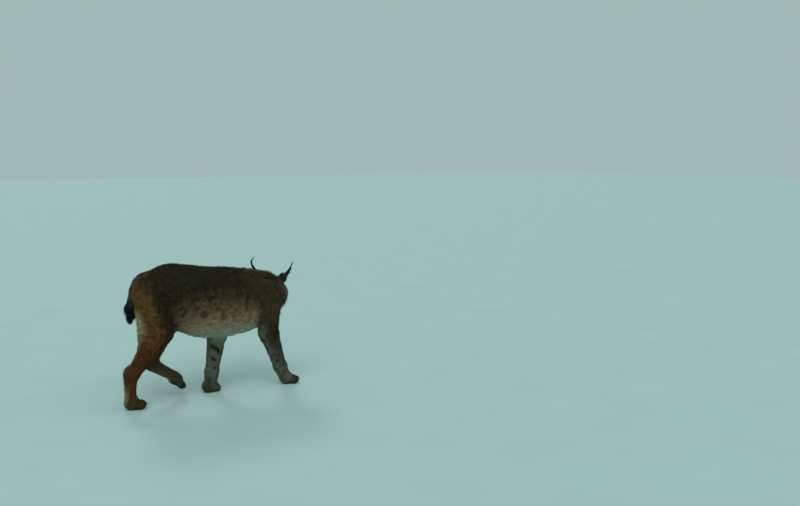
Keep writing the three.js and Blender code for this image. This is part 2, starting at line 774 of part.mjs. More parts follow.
// The tuft at an ear's tip: a few long locks. The left one bends inward and the right one forward.
function earTuft(side) {
  return Array.from({ length: EAR_TUFT.locks }, (_, n) => {
    const root = vec(-4.5 + n, 0, EAR_HEIGHT - 26 - 4 * n);
    const lie = vec(0, (n - 1) * 0.06, 1);
    const bend = side < 0 ? [0.8, 0.5] : [-0.15, -1.4];
    const fall = vec(bend[0], (n - 1) * 0.12 + bend[1], 1);
    const length = (EAR_TUFT.length + (side < 0 ? 4 : 16)) * (1 - 0.12 * n);
    return solidOf(earPlaced(lock(root, lie, fall, vec(1, 0, 0), { ...EAR_TUFT, length }), side));
  });
}

const earPockets = bothSides((side) => solidOf(earShape(side, 2 * GAP)));
bothSides((side) => {
  const ear = together([solidOf(earShape(side)), ...earTuft(side)]);
  add(side < 0 ? "right_ear" : "left_ear", ear, COAT.black);
});

// The ruff. Each row of locks runs from under the ear, where they lie back, down to beside the chin.
const ruff = [];
bothSides((side) => {
  RUFF.rows.forEach((x, row) => {
    for (let n = 0; n < RUFF.each; n += 1) {
      const seed = 100 * (side + 2) + 10 * row + n;
      const angle = rad(lerp(-14, 84, (n + 0.5 * (row % 2) + 0.2 * draw(seed)) / (RUFF.each - 0.5)));
      const out = vec(0, side * Math.cos(angle), -Math.sin(angle));
      const inner = vec(x, side * 18, -22);
      const root = leaves(headLocal, inner, out).addScaledVector(out, -7);
      const lie = out.clone().multiplyScalar(0.6).add(vec(-0.75, 0, -0.3 * Math.cos(angle)));
      const fall = vec(-0.55, side * 0.12 * Math.cos(angle), -1);
      const longest = Math.exp(-(((angle - rad(52)) / rad(26)) ** 2));
      const length = RUFF.length * (0.85 + 0.4 * longest + 0.1 * draw(seed + 7));
      const own = lock(root, lie, fall, out, { ...RUFF, length }).applyMatrix4(headFrame);
      ruff.push(solidOf(own));
    }
  });
});
const besideHead = (p) => {
  const limbsToo = limbs.slice(2).reduce((sum, limb) => blend(sum, limb.field(p), 36), core(p));
  return blend(limbsToo, head(p), 24);
};
const fleshGrown = solidOf(grown(skin(besideHead, [560, -160, 250], [900, 190, 620], [20, 20, 20]), 3));
let ruffInHead = together(ruff).intersect(headSide(2 * GAP));
outer.forEach((cut) => {
  ruffInHead = ruffInHead.subtract(cut);
});
const ruffOutside = together(ruff).subtract(fleshGrown);
headPiece = headPiece.add(ruffInHead).add(ruffOutside);
earPockets.forEach((pocket) => {
  headPiece = headPiece.subtract(pocket);
});
add("head", headPiece, COAT.back);

// Limbs, parted at knee and hock or elbow and wrist.
limbs.forEach((limb, index) => {
  const { name, side, joints, field, frame, pawPitch } = limb;
  const hind = name.endsWith("hind");
  const [word] = name.split("_");
  const flesh = (p) => blend(core(p), field(p), 36);
  const [top, mid, low, foot] = joints;
  const sideBox = (pad) => (side < 0 ? [-150 - pad, 12] : [-12, 150 + pad]);
  const mesh = (cells, x0, x1, z0, z1) => {
    const [y0, y1] = sideBox(10);
    const piece = solidOf(skin(flesh, [x0, y0, z0], [x1, y1, z1], cells));
    return piece.intersect(inner[index]).intersect(floorUp).subtract(tailGrown);
  };
  const across = (a, b, c) => b.clone().sub(a).normalize().add(c.clone().sub(b).normalize()).normalize();
  const upperEnd = [mid, across(top, mid, low)];
  const middleEnd = [low, across(mid, low, foot)];
  const xs = joints.map((j) => j.x);
  const upper = mesh([38, 29, 38], Math.min(...xs) - 160, Math.max(...xs) + 140, mid.z - 110, 700);
  const [upperName, middleName] = hind ? ["thigh", "shank"] : ["upper_foreleg", "forearm"];
  add(`${word}_${upperName}`, upper.subtract(beyond(...upperEnd, -GAP / 2)), COAT.leg);
  const middle = mesh(
    [26, 22, 30],
    Math.min(mid.x, low.x) - 90,
    Math.max(mid.x, low.x) + 90,
    low.z - 70,
    mid.z + 90,
  );
  const shank = middle.intersect(beyond(...upperEnd)).subtract(beyond(...middleEnd, -GAP / 2));
  add(`${word}_${middleName}`, shank, COAT.leg);

  // Below: the long hind foot and paw, or the fore paw alone.
  const corner = vec(0, 0, 0).applyMatrix4(frame);
  const pawCells = [13.5, 11.5, (z) => (z < 40 ? 12 : 20)];
  const pawAll = solidOf(
    skin(
      flesh,
      [Math.min(low.x, corner.x) - 70, corner.y - 60, -14],
      [Math.max(low.x, corner.x) + 100, corner.y + 62, low.z + 70],
      hind ? [18, 16, 21] : pawCells,
    ),
  ).intersect(floorUp);
  if (!hind) {
    add(`${word}_fore_paw`, pawAll.intersect(beyond(...middleEnd)), COAT.leg);
    return;
  }
  const ankle = pawPitch ? vec(foot.x - 6, foot.y, foot.z + 4) : vec(foot.x, foot.y, foot.z + 24);
  const down = pawPitch ? vec(Math.cos(rad(38)), 0, -Math.sin(rad(38))) : vec(0.3, 0, -1);
  const ankleEnd = [ankle, down];
  add(
    `${word}_hind_foot`,
    pawAll.intersect(beyond(...middleEnd)).subtract(beyond(...ankleEnd, -GAP / 2)),
    COAT.leg,
  );
  const toes = solidOf(
    skin(
      flesh,
      [corner.x - 80, corner.y - 60, -14],
      [corner.x + 100, corner.y + 60, ankle.z + 60],
      pawCells,
    ),
  ).intersect(floorUp);
  add(`${word}_hind_paw`, toes.intersect(beyond(...ankleEnd)), COAT.leg);
});

// The origin moves to the middle of the base.
const box = new THREE.Box3().setFromObject(group);
const middle = box.getCenter(vec(0, 0, 0));
group.position.set(-middle.x, -middle.y, -box.min.z);

export default group;
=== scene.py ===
# %% [markdown]
# # A Eurasian lynx in mid-walk, as a museum model
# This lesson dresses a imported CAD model. The solids give the outline, and Blender gives skin, coat,
# eyes and light. They could be placed by eye, but would drift apart. So the frame is loaded first,
# and everything is placed from it.

import math

import bpy
import numpy as np
from mathutils import Matrix, Vector


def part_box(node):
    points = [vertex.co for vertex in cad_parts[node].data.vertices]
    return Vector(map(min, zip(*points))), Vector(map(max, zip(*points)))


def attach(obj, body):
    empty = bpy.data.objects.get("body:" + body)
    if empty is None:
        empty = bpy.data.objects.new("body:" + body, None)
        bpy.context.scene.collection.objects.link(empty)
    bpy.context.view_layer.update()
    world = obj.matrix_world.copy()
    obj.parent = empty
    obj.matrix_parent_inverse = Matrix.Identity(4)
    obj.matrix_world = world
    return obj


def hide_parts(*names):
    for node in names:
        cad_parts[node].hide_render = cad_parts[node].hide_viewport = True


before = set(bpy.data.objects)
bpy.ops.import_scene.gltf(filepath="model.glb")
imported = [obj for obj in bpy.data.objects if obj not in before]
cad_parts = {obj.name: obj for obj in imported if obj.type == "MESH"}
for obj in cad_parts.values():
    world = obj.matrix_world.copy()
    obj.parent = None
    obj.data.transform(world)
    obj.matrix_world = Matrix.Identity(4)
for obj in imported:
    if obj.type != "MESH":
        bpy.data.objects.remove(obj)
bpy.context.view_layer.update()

# %% [markdown]
# ## The skeleton
# A cat's leg is a chain of bones. Its joints could be typed in as points, but lengths and angles keep
# left and right legs equal. The solids were drawn from the same bones, so the skin is grown from them
# too, in millimetres.

# %% Bones and pose
FEMUR, TIBIA, HIND_FOOT = 210, 222, 139
HUMERUS, RADIUS, PALM = 188, 208, 54

LEGS = {
    "right_hind": dict(
        side=-1, start=(84, -50, 556), lengths=(FEMUR, TIBIA, HIND_FOOT),
        swing=(13.5, -36, -8), splay=(3.8, -3.5, -0.8), paw_pitch=0, paw_yaw=0, paw_shift=13,
    ),
    "left_hind": dict(
        side=1, start=(104, 50, 556), lengths=(FEMUR, TIBIA, HIND_FOOT),
        swing=(35.3, -30.5, 51), splay=(3.8, -4.5, -1.5), paw_pitch=42, paw_yaw=0, paw_shift=30,
    ),
    "right_fore": dict(
        side=-1, start=(712, -66, 477), lengths=(HUMERUS, RADIUS, PALM),
        swing=(-6, 20, 24), splay=(0, -3.7, 0), paw_pitch=0, paw_yaw=0, paw_shift=22,
    ),
    "left_fore": dict(
        side=1, start=(589, 66, 436), lengths=(HUMERUS, RADIUS, PALM),
        swing=(-40, -13, -8), splay=(-2, -6.8, -3), paw_pitch=0, paw_yaw=24, paw_shift=-8,
    ),
}


def joints_of(leg):
    """The four joints of a leg. Each bone swings fore and aft, and splays to its own side."""
    joints = [np.array(leg["start"], float)]
    for length, swing, splay in zip(leg["lengths"], leg["swing"], leg["splay"]):
        a, b = math.radians(swing), math.radians(splay)
        step = (math.sin(a) * math.cos(b), leg["side"] * math.sin(b), -math.cos(a) * math.cos(b))
        joints.append(joints[-1] + np.array(step) * length)
    return joints


for name, leg in LEGS.items():
    leg["word"], leg["kind"] = name.split("_")
    leg["joints"] = joints_of(leg)

# %% [markdown]
# ## The head's own frame
# The head is turned 48 degrees to the left. Its parts could be placed in the turned pose, but they are
# easier to think of in the head's own frame, with x to the nose, y to its left and z to the crown. One
# matrix then carries them all into place.

# %% Head frame
HEAD_SCALE = 1.08


def turn(axis, degrees):
    return np.array(Matrix.Rotation(math.radians(degrees), 3, axis))


HEAD_AT = np.array([774.0, 60.0, 487.0])
HEAD_TURN = turn("Z", 48) @ turn("Y", 12) @ turn("X", 5)


def to_head(p):
    return (p - HEAD_AT) @ HEAD_TURN / HEAD_SCALE


def from_head(q):
    return np.asarray(q, float) @ HEAD_TURN.T * HEAD_SCALE + HEAD_AT


# the CAD's right eye shows how far the skeleton's millimetres lie from the frame's zero
EYE_AT = {side: np.array([38.0, side * 32.0, 8.0]) for side in (-1, 1)}
eye_low, eye_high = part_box("right_eye")
SHIFT = from_head(EYE_AT[-1]) - np.array((eye_low + eye_high) / 2) * 1000


def to_frame(p):
    """Millimetres of the skeleton to metres of the frame."""
    return (np.asarray(p, float) - SHIFT) / 1000


print("skeleton to frame shift, mm", SHIFT.round(2))

# %% [markdown]
# ## Shapes that melt together
# Muscle over bone has no hard edges. It could be sculpted, but a formula can be measured and repeated.
# Each shape here is a rough signed distance: below zero inside, above zero outside. The smooth minimum
# of two such distances melts the shapes into one.

# %% Distance shapes


def melt(a, b, k):
    """The nearer of two distances, with a soft joint about k millimetres wide."""
    h = np.maximum(k - np.abs(a - b), 0) / k
    return np.minimum(a, b) - h * h * k / 4


def bone(a, b, ra, rb, flat=1.0):
    """A rounded limb from a to b, of radius ra to rb, and flat times thinner across."""
    a, b = np.array(a, float), np.array(b, float)
    axis = b - a

    def distance(p):
        d = p - a
        t = np.clip(d @ axis / (axis @ axis), 0, 1)
        off = d - t[:, None] * axis
        off[:, 1] *= flat
        return (np.sqrt((off * off).sum(1)) - (ra + (rb - ra) * t)) / math.sqrt(flat)

    return distance


def ball(centre, radii):
    """A ball with its own radius along each axis."""
    centre, radii = np.array(centre, float), np.array(radii, float)

    def distance(p):
        d = (p - centre) / radii
        near = np.sqrt((d * d).sum(1))
        slope = np.sqrt(((d / radii) ** 2).sum(1))
        return near * (near - 1) / np.maximum(slope, 1e-9)

    return distance


def melted(shapes, k):
    """All the shapes, melted one after the other."""
    def distance(p):
        total = shapes[0](p)
        for shape in shapes[1:]:
            total = melt(total, shape(p), k)
        return total

    return distance


two_balls = [ball((0, 0, 0), (10, 10, 10)), ball((18, 0, 0), (10, 10, 10))]
print("distance between two melted balls", melted(two_balls, 12)(np.array([[9.0, 8, 0]])).round(2))


# %% [markdown]
# ## Trunk, neck and tail
# The trunk is deep at the chest and tucked up at the loin. A few balls would make it a sausage. So it
# follows stations along the back, as a boat's hull does: top line, bottom line and half width, with a
# smooth curve through them. Neck and tail are plain bones.

# %% Trunk, neck and tail
TRUNK = np.array([
    [60, 590, 488, 54], [108, 634, 440, 78], [180, 670, 384, 92], [270, 662, 319, 98],
    [360, 648, 288, 106], [450, 638, 278, 110], [530, 628, 282, 110], [610, 606, 294, 102],
    [680, 580, 320, 86], [722, 552, 348, 68],
], float)
TRUNK_REAR, TRUNK_FRONT = 36, 42


def stations(x):
    """Top line, bottom line and half width of the trunk at x, by a smooth curve."""
    at = np.clip(x, TRUNK[0, 0], TRUNK[-1, 0])
    slopes = np.gradient(TRUNK[:, 1:], axis=0)
    spans = np.gradient(TRUNK[:, 0])[:, None]
    i = np.clip(np.searchsorted(TRUNK[:, 0], at, side="left") - 1, 0, len(TRUNK) - 2)
    span = (TRUNK[i + 1, 0] - TRUNK[i, 0])[:, None]
    t = (at - TRUNK[i, 0])[:, None] / span
    rate = slopes / spans
    a, b = TRUNK[i, 1:], TRUNK[i + 1, 1:]
    ma, mb = rate[i] * span, rate[i + 1] * span
    t2, t3 = t * t, t * t * t
    curve = (2 * t3 - 3 * t2 + 1) * a + (t3 - 2 * t2 + t) * ma + (3 * t2 - 2 * t3) * b + (t3 - t2) * mb
    return curve.T


def trunk(p):
    """The trunk's distance. Its sections are ovals, a little narrower above."""
    top, bottom, half = stations(p[:, 0])
    tall = (top - bottom) / 2
    dz = p[:, 2] - (top + bottom) / 2
    over = np.maximum(TRUNK[0, 0] - p[:, 0], 0) / TRUNK_REAR
    ahead = np.maximum(p[:, 0] - TRUNK[-1, 0], 0) / TRUNK_FRONT
    w = np.maximum(over, ahead)
    end = np.where(over > 0, TRUNK_REAR, TRUNK_FRONT)
    wide = half * (1 - 0.16 * np.clip(dz / tall, -1, 1))
    near = np.sqrt((p[:, 1] / wide) ** 2 + (dz / tall) ** 2 + w * w)
    slope = np.sqrt((p[:, 1] / wide**2) ** 2 + (dz / tall**2) ** 2 + (w / end) ** 2)
    return near * (near - 1) / np.maximum(slope, 1e-9)


neck = melted([
    bone((620, 0, 508), (712, 25, 508), 96, 78, 1.15),
    bone((690, 0, 428), (742, 34, 452), 74, 58, 1.1),
], 40)

# places along the tail, and its radius there
TAIL = [((56, 0, 582), 33), ((36, 0, 548), 30), ((24, 0, 504), 25), ((14, 0, 442), 15)]
tail = melted([bone(a, b, ra, rb) for (a, ra), (b, rb) in zip(TAIL, TAIL[1:])], 10)
print("trunk stations", len(TRUNK), "tail lengths", len(TAIL) - 1)

# %% [markdown]
# ## Legs and paws
# A thigh is wide and flat, and a lynx's paw is broad as a snowshoe. Four paws could be shaped in place,
# but here one is shaped in its own frame, with the floor at zero. A lifted paw is the same one, tilted.

# %% Legs and paws
PAW_TOES = [(21, -31, 18), (34, -12, 20), (34, 12, 20), (21, 31, 18)]
LIFTED_DROP = 28.0
THIGH_REACH, SHOULDER_REACH = 175, 165
SHOULDER_BACK, SHOULDER_TOP = 520, 690


def paw_place(leg):
    """The turn and the place of a paw: on the floor, or hanging under a lifted leg."""
    rotation = turn("Z", leg["paw_yaw"]) @ turn("Y", leg["paw_pitch"])
    palm = leg["joints"][3]
    pitched = leg["paw_pitch"] != 0
    foot = palm.copy() if pitched else np.array([palm[0], palm[1], 0.0])
    drop = LIFTED_DROP if pitched else 0.0
    return rotation, foot + rotation @ np.array([leg["paw_shift"], 0, -drop])


def hind_flesh(leg):
    """Thigh, the muscle behind it, shank and the long foot."""
    hip, knee, hock, toe = leg["joints"]
    seat = np.array([hip[0] - 8, leg["side"] * 46, hip[2] - 34])
    calf = np.array([(knee[0] + hock[0]) / 2 + 2, knee[1] * 0.94, knee[2] + 0.34 * (hock[2] - knee[2])])
    heel = hock + np.array([-18, 0, 2])
    return melted([
        bone(hip + np.array([12, 0, -10]), knee, 90, 62, 1.6),
        bone(seat, calf, 62, 46, 1.4),
        bone(knee, hock, 56, 36, 1.25),
        bone(heel, toe, 32, 29, 1.1),
    ], 26)


def fore_flesh(leg):
    """Shoulder blade, upper arm, forearm and wrist."""
    shoulder, elbow, wrist, palm = leg["joints"]
    blade = np.array([shoulder[0] + 0.75 * (600 - shoulder[0]), leg["side"] * 52, 548])
    return melted([
        bone(blade, shoulder, 54, 60, 1.6),
        bone(shoulder, elbow, 68, 52, 1.4),
        bone(elbow, wrist, 51, 33, 1.15),
        bone(wrist, palm, 33, 32, 1),
    ], 26)


def paw_flesh(leg):
    """Four toes round a palm."""
    rotation, place = leg["paw"]
    toes = [ball((x, y, z), (27, 14.5, z)) for x, y, z in PAW_TOES]
    local = melted([ball((-4, 0, 27), (39, 38, 31)), *toes], 5)
    return lambda p: local((p - place) @ rotation)


for leg in LEGS.values():
    leg["paw"] = paw_place(leg)
    flesh = hind_flesh(leg) if leg["kind"] == "hind" else fore_flesh(leg)
    paw = paw_flesh(leg)
    leg["field"] = lambda p, flesh=flesh, paw=paw: melt(flesh(p), paw(p), 20)
    points = np.array([*leg["joints"], leg["paw"][1]])
    reach = THIGH_REACH if leg["kind"] == "hind" else SHOULDER_REACH
    leg["low"], leg["high"] = points.min(0) - reach, points.max(0) + reach
    if leg["kind"] == "fore":
        # the shoulder blade lies behind and above the leg's own joints
        leg["low"][0] = min(leg["low"][0], SHOULDER_BACK)
        leg["high"][2] = SHOULDER_TOP
print("paws at", {name: leg["paw"][1].round().tolist() for name, leg in LEGS.items()})

# %% [markdown]
# ## The head
# A lynx has a short muzzle, broad cheeks and a rounded crown. One ball could be pushed about, but a
# dozen small shapes can each be named and moved. The eyes sit in their own balls of flesh.

# %% Head


def both_sides(make):
    return [make(-1), make(1)]


head_local = melted([
    ball((-22, 0, 14), (68, 58, 54)),
    ball((26, 0, 20), (40, 42, 32)),
    bone((38, 0, 18), (84, 0, -4), 18, 14),
    ball((60, 0, -22), (36, 27, 24)),
    ball((66, 0, -46), (20, 17, 12)),
    ball((-24, 0, -46), (50, 50, 36)),
    *both_sides(lambda s: ball((72, s * 15, -24), (20, 17, 15))),
    *both_sides(lambda s: bone((-12, s * 36, -40), (52, s * 12, -44), 22, 14)),
    *both_sides(lambda s: bone((4, s * 44, -10), (50, s * 20, -20), 30, 18)),
    *both_sides(lambda s: ball((-16, s * 60, -16), (42, 36, 50))),
    *both_sides(lambda s: ball((-26, s * 46, 34), (28, 26, 26))),
    *both_sides(lambda s: ball(EYE_AT[s], (18, 18, 18))),
], 16)


def head(p):
    return head_local(to_head(p))


print("head centre in the frame", to_frame(HEAD_AT).round(3))

# %% [markdown]
# ## Regions of the body
# Coat, lie and colour differ from region to region, but on the animal they change without a border.
# Hard borders would show as seams. So each point finds how much it belongs to every region, as soft
# weights that add up to one.

# %% Regions
REGIONS = ["trunk", "neck", "head", "tail", *LEGS]
TRUNK_ROW, NECK_ROW, HEAD_ROW, TAIL_ROW, FIRST_LEG = range(5)
FAR = 400.0
TRUNK_BOX = np.array([[-60, -190, 200], [860, 190, 760]], float)
HEAD_BOX = np.array([[600, -140, 330], [930, 220, 660]], float)
TAIL_BOX = np.array([[-60, -90, 370], [160, 90, 680]], float)
MELT_NECK, MELT_HEAD, MELT_LEG, MELT_TAIL = 44, 24, 36, 14
REGION_BLEND = 16.0
LEG_LEAD, HEAD_LEAD = 14, 4


def inside_box(p, low, high):
    return ((p > low) & (p < high)).all(1)


def region_distances(p):
    """Each region's own distance, worked out only inside its box."""
    rows = np.full((len(REGIONS), len(p)), FAR)
    box = inside_box(p, *TRUNK_BOX)
    rows[TRUNK_ROW][box], rows[NECK_ROW][box] = trunk(p[box]), neck(p[box])
    box = inside_box(p, *HEAD_BOX)
    rows[HEAD_ROW][box] = head(p[box])
    box = inside_box(p, *TAIL_BOX)
    rows[TAIL_ROW][box] = tail(p[box])
    for row, leg in enumerate(LEGS.values(), FIRST_LEG):
        box = inside_box(p, leg["low"], leg["high"])
        rows[row][box] = leg["field"](p[box])
    return rows


def outline(rows):
    """The body's outline, melted from its regions as in the solids."""
    total = melt(rows[TRUNK_ROW], rows[NECK_ROW], MELT_NECK)
    total = melt(total, rows[HEAD_ROW], MELT_HEAD)
    for row in rows[FIRST_LEG:]:
        total = melt(total, row, MELT_LEG)
    return melt(total, rows[TAIL_ROW], MELT_TAIL)


def region_weights(rows):
    """Shares of the regions. Where leg and trunk lie on each other, the leg's coat shows."""
    rows = rows.copy()
    rows[FIRST_LEG:] -= LEG_LEAD
    rows[HEAD_ROW] -= HEAD_LEAD
    weights = np.exp(-(rows - rows.min(0)) / REGION_BLEND)
    return weights / weights.sum(0)


print("regions", REGIONS)

# %% [markdown]
# ## Places on the body
# A marking sits "in front on the shank" or "low on the flank". It could be placed in millimetres, but
# places that are measured along the bones stay right when the pose changes. Each leg gets a place
# down, forward and outward, and the trunk a height.

# %% Places


def ramp(x, *pairs):
    """A line through (x, value) pairs, flat beyond its ends."""
    xs, ys = zip(*pairs)
    return np.interp(x, xs, ys)


def paw_point(leg, *place):
    """A place in a paw's own frame, carried to the body."""
    rotation, foot = leg["paw"]
    return foot + rotation @ np.array(place, float)


def leg_place(leg, p):
    """Place on a leg: how far down it from 0 to 1, and how much to the front and to the outside."""
    joints = [*leg["joints"], paw_point(leg, 40, 0, 10)]
    forward = np.array([1, 0, 0.6])
    total = sum(np.linalg.norm(b - a) for a, b in zip(joints, joints[1:]))
    best, at, start = np.full(len(p), 1e9), np.zeros(len(p)), 0.0
    front, outer = np.zeros(len(p)), np.zeros(len(p))
    for a, b in zip(joints, joints[1:]):
        long = np.linalg.norm(b - a)
        axis = (b - a) / long
        t = np.clip((p - a) @ axis / long, 0, 1)
        off = p - a - (t * long)[:, None] * axis
        distance = np.linalg.norm(off, axis=1)
        near = distance < best
        ahead = forward - axis * (axis @ forward)
        ahead /= np.linalg.norm(ahead)
        best[near], at[near] = distance[near], (start + t[near] * long) / total
        front[near] = (off[near] @ ahead) / np.maximum(distance[near], 1)
        outer[near] = leg["side"] * off[near, 1] / np.maximum(distance[near], 1)
        start += long
    return at, front, outer


def trunk_height(p):
    """0 at the belly line and 1 at the back line."""
    top, bottom, _ = stations(p[:, 0])
    return (p[:, 2] - bottom) / (top - bottom)


hock = LEGS["right_hind"]["joints"][2]
print("place of the right hock", leg_place(LEGS["right_hind"], hock[None])[0].round(2))

# %% [markdown]
# ## How deep the coat is
# The solids show the outline of the fur, and the skin lies inside it by the coat's depth. One depth
# for all would bury the face or bare the belly. So it changes as on the animal, from 19 mm on the belly
# to a few on the face.

# %% Depth of the coat
# millimetres: by height on the trunk, back from the nose, out to the cheek, and down each leg
DEPTH = dict(
    trunk=((0, 19), (0.3, 15), (0.7, 13), (1, 12)), neck=17,
    face=((-60, 13), (-20, 9), (10, 6), (35, 4), (60, 2.6), (100, 2)), cheek=((50, 0), (80, 6)),
    tail=11, legs=((0, 14), (0.35, 12), (0.6, 7), (0.8, 5.5), (0.9, 4), (1, 3)),
)


def over_body(p, weights, trunk, neck, face, cheek, tail, legs):
    """A measure of the coat at each point, from its stops for every region."""
    total = weights[TRUNK_ROW] * ramp(trunk_height(p), *trunk) + weights[NECK_ROW] * neck
    q = to_head(p)
    wide = ramp(np.abs(q[:, 1]), *cheek) * ramp(q[:, 0], (0, 1), (30, 0))
    total += weights[HEAD_ROW] * (ramp(q[:, 0], *face) + wide)
    total += weights[TAIL_ROW] * tail
    for row, leg in enumerate(LEGS.values(), FIRST_LEG):
        if weights[row].max() > 0.01:
            total += weights[row] * ramp(leg_place(leg, p)[0], *legs)
    return total


belly = np.array([[450.0, 0, 280]])
shares = region_weights(region_distances(belly))
print("coat at the belly", over_body(belly, shares, **DEPTH).round(1), "mm deep")

# %% [markdown]
# ## Lids and mouth
# The eyes look out of almond slits, and the mouth is a groove round the muzzle. Both could be painted
# on, but then the lids would have no edge to catch the light. So both are cut into the field, before
# any mesh is made.

# %% Lids and mouth
LID_HALF, UPPER_LID, LOWER_LID = 12.5, 6.6, 8.5
EYE_RADIUS = 14.0
GAZE = 24
LID_CUT, LID_FLOOR = 9, 3
GROOVE, GROOVE_HALF = 3.2, 2.6
MUZZLE_MID = np.array([44.0, 0, -37.0])


def gaze_turn(side):
    """The socket's own turn: outward, and tilted at the corners."""
    return turn("Z", side * GAZE) @ turn("X", side * 12)


def leaves(field, start, way, reach=120.0):
    """Where a line from inside leaves a surface."""
    near, far = 0.0, reach
    for _ in range(18):
        half = (near + far) / 2
        if field((start + way * half)[None])[0] < 0:
            near = half
        else:
            far = half
    return start + way * near


def mouth_line():
    """Points of the line of the mouth, on the muzzle, in the head's frame."""
    rows = []
    for angle in np.radians(np.linspace(-62, 62, 25)):
        way = np.array([math.cos(angle), math.sin(angle), 0])
        level = MUZZLE_MID - np.array([0, 0, 9 * math.sin(min(abs(angle) * 2.6, 2.0))])
        rows.append(leaves(head_local, level, way))
    return np.array(rows)


MOUTH = mouth_line()


def mouth_distance(q):
    return np.sqrt(((q[:, None] - MOUTH[None]) ** 2).sum(2)).min(1)


def almond(q, side):
    """Below zero inside the opening of the lids; also the depth along the gaze."""
    g = (q - EYE_AT[side]) @ gaze_turn(side)
    tall = np.where(g[:, 2] > 0, UPPER_LID, LOWER_LID)
    return np.sqrt((g[:, 1] / LID_HALF) ** 2 + (g[:, 2] / tall) ** 2) - 0.98, g[:, 0]


def face_cuts(p, skin):
    """Opens the lids and presses in the line of the mouth."""
    q = to_head(p)
    for side in (-1, 1):
        opening, depth = almond(q, side)
        skin = np.maximum(skin, -np.maximum(opening * LID_CUT, LID_FLOOR - depth))
    return skin + GROOVE * np.exp(-((mouth_distance(q) / GROOVE_HALF) ** 2))


FACE_BOX = np.array([[740, -20, 380], [900, 200, 560]], float)


def under_coat(p):
    """The skin's field before the face is cut, and the weights of the regions."""
    rows = region_distances(p)
    near = outline(rows)
    weights = region_weights(rows)
    close = np.abs(near + 10) < 60
    near[close] += over_body(p[close], weights[:, close], **DEPTH)
    return near, weights


def skin_field(p):
    """The skin's field, with the lids and the mouth in it."""
    skin = under_coat(p)[0]
    box = inside_box(p, *FACE_BOX) & (np.abs(skin) < 30)
    skin[box] = face_cuts(p[box], skin[box])
    return skin


print("mouth corner, head frame", MOUTH[0].round(1))

# %% [markdown]
# ## The skin
# The animal has one skin, from nose to tail. Separate limbs would leave a seam at each joint. So the
# body is one field, and the surface is where it is zero. Surface nets put one point in each grid cell
# that the surface crosses, and join neighbours with squares.

# %% Surface nets


def grid_lines(pairs):
    """Grid lines from (start, end, cell) stretches."""
    lines = [pairs[0][0]]
    for _, end, cell in pairs:
        while lines[-1] < end:
            lines.append(lines[-1] + cell)
    return np.array(lines, float)


# a cell's eight corners, and the twelve edges between them
CORNERS = np.array([[(c >> a) & 1 for a in range(3)] for c in range(8)])
EDGES = [(c, c | bit) for c in range(8) for bit in (1, 2, 4) if not c & bit]


def surface_net(values, xs, ys, zs):
    """Points and square faces of the surface where values are zero on a grid."""
    inside = values < 0
    shape = np.array(values.shape)
    count = np.zeros(shape - 1, np.int8)
    for cx, cy, cz in CORNERS:
        count += inside[cx:shape[0] - 1 + cx, cy:shape[1] - 1 + cy, cz:shape[2] - 1 + cz]
    cells = np.argwhere((count > 0) & (count < 8))
    number = np.full(shape - 1, -1, np.int64)
    number[tuple(cells.T)] = np.arange(len(cells))
    lines = (xs, ys, zs)
    at = np.array([values[tuple((cells + c).T)] for c in CORNERS])
    place = np.array([np.stack([lines[a][cells[:, a] + c[a]] for a in range(3)], 1) for c in CORNERS])
    total, hits = np.zeros((len(cells), 3)), np.zeros(len(cells))
    for c, d in EDGES:
        cross = (at[c] < 0) != (at[d] < 0)
        t = np.where(cross, at[c] / np.where(cross, at[c] - at[d], 1), 0)
        total += np.where(cross[:, None], place[c] + (place[d] - place[c]) * t[:, None], 0)
        hits += cross
    points = total / hits[:, None]
    faces = []
    for axis in range(3):
        u, v = (axis + 1) % 3, (axis + 2) % 3
        step = np.eye(3, dtype=int)
        first, second = [slice(None)] * 3, [slice(None)] * 3
        first[axis], second[axis] = slice(0, -1), slice(1, None)
        change = inside[tuple(first)] != inside[tuple(second)]
        edges = np.argwhere(change)
        ok = (edges[:, u] > 0) & (edges[:, v] > 0)
        ok &= (edges[:, u] < shape[u] - 1) & (edges[:, v] < shape[v] - 1)
        edges = edges[ok]
        ring = [edges - step[u] - step[v], edges - step[v], edges, edges - step[u]]
        quad = np.stack([number[tuple(r.T)] for r in ring], 1)
        flip = ~inside[tuple(edges.T)]
        quad[flip] = quad[flip][:, ::-1]
        faces.append(quad)
    return points, np.concatenate(faces)


def grid_points(xs, ys, zs):
    return np.stack(np.meshgrid(xs, ys, zs, indexing="ij"), -1)


line = np.arange(-14.0, 15, 4)
test = two_balls[0](grid_points(line, line, line).reshape(-1, 3)).reshape([len(line)] * 3)
print("a test ball has", len(surface_net(test, line, line, line)[1]), "faces")

# %% [markdown]
# ## Growing the skin
# A fine grid all over would take minutes. So it is fine only round the head, where small forms matter,
# and the field is worked out only in blocks that the surface may cross. Two small steps along the
# slope then move each point onto the surface.

# %% Grow the skin
CELL, FINE = ((6.4, 2.8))
BLOCK = 4
LARGEST_STEP = 1.5
xs = grid_lines([(-64, 640, CELL), (640, 890, FINE)])
ys = grid_lines([(-144, -60, CELL), (-60, 150, FINE), (150, 170, CELL)])
zs = grid_lines([(-16, 380, CELL), (380, 590, FINE), (590, 700, CELL)])


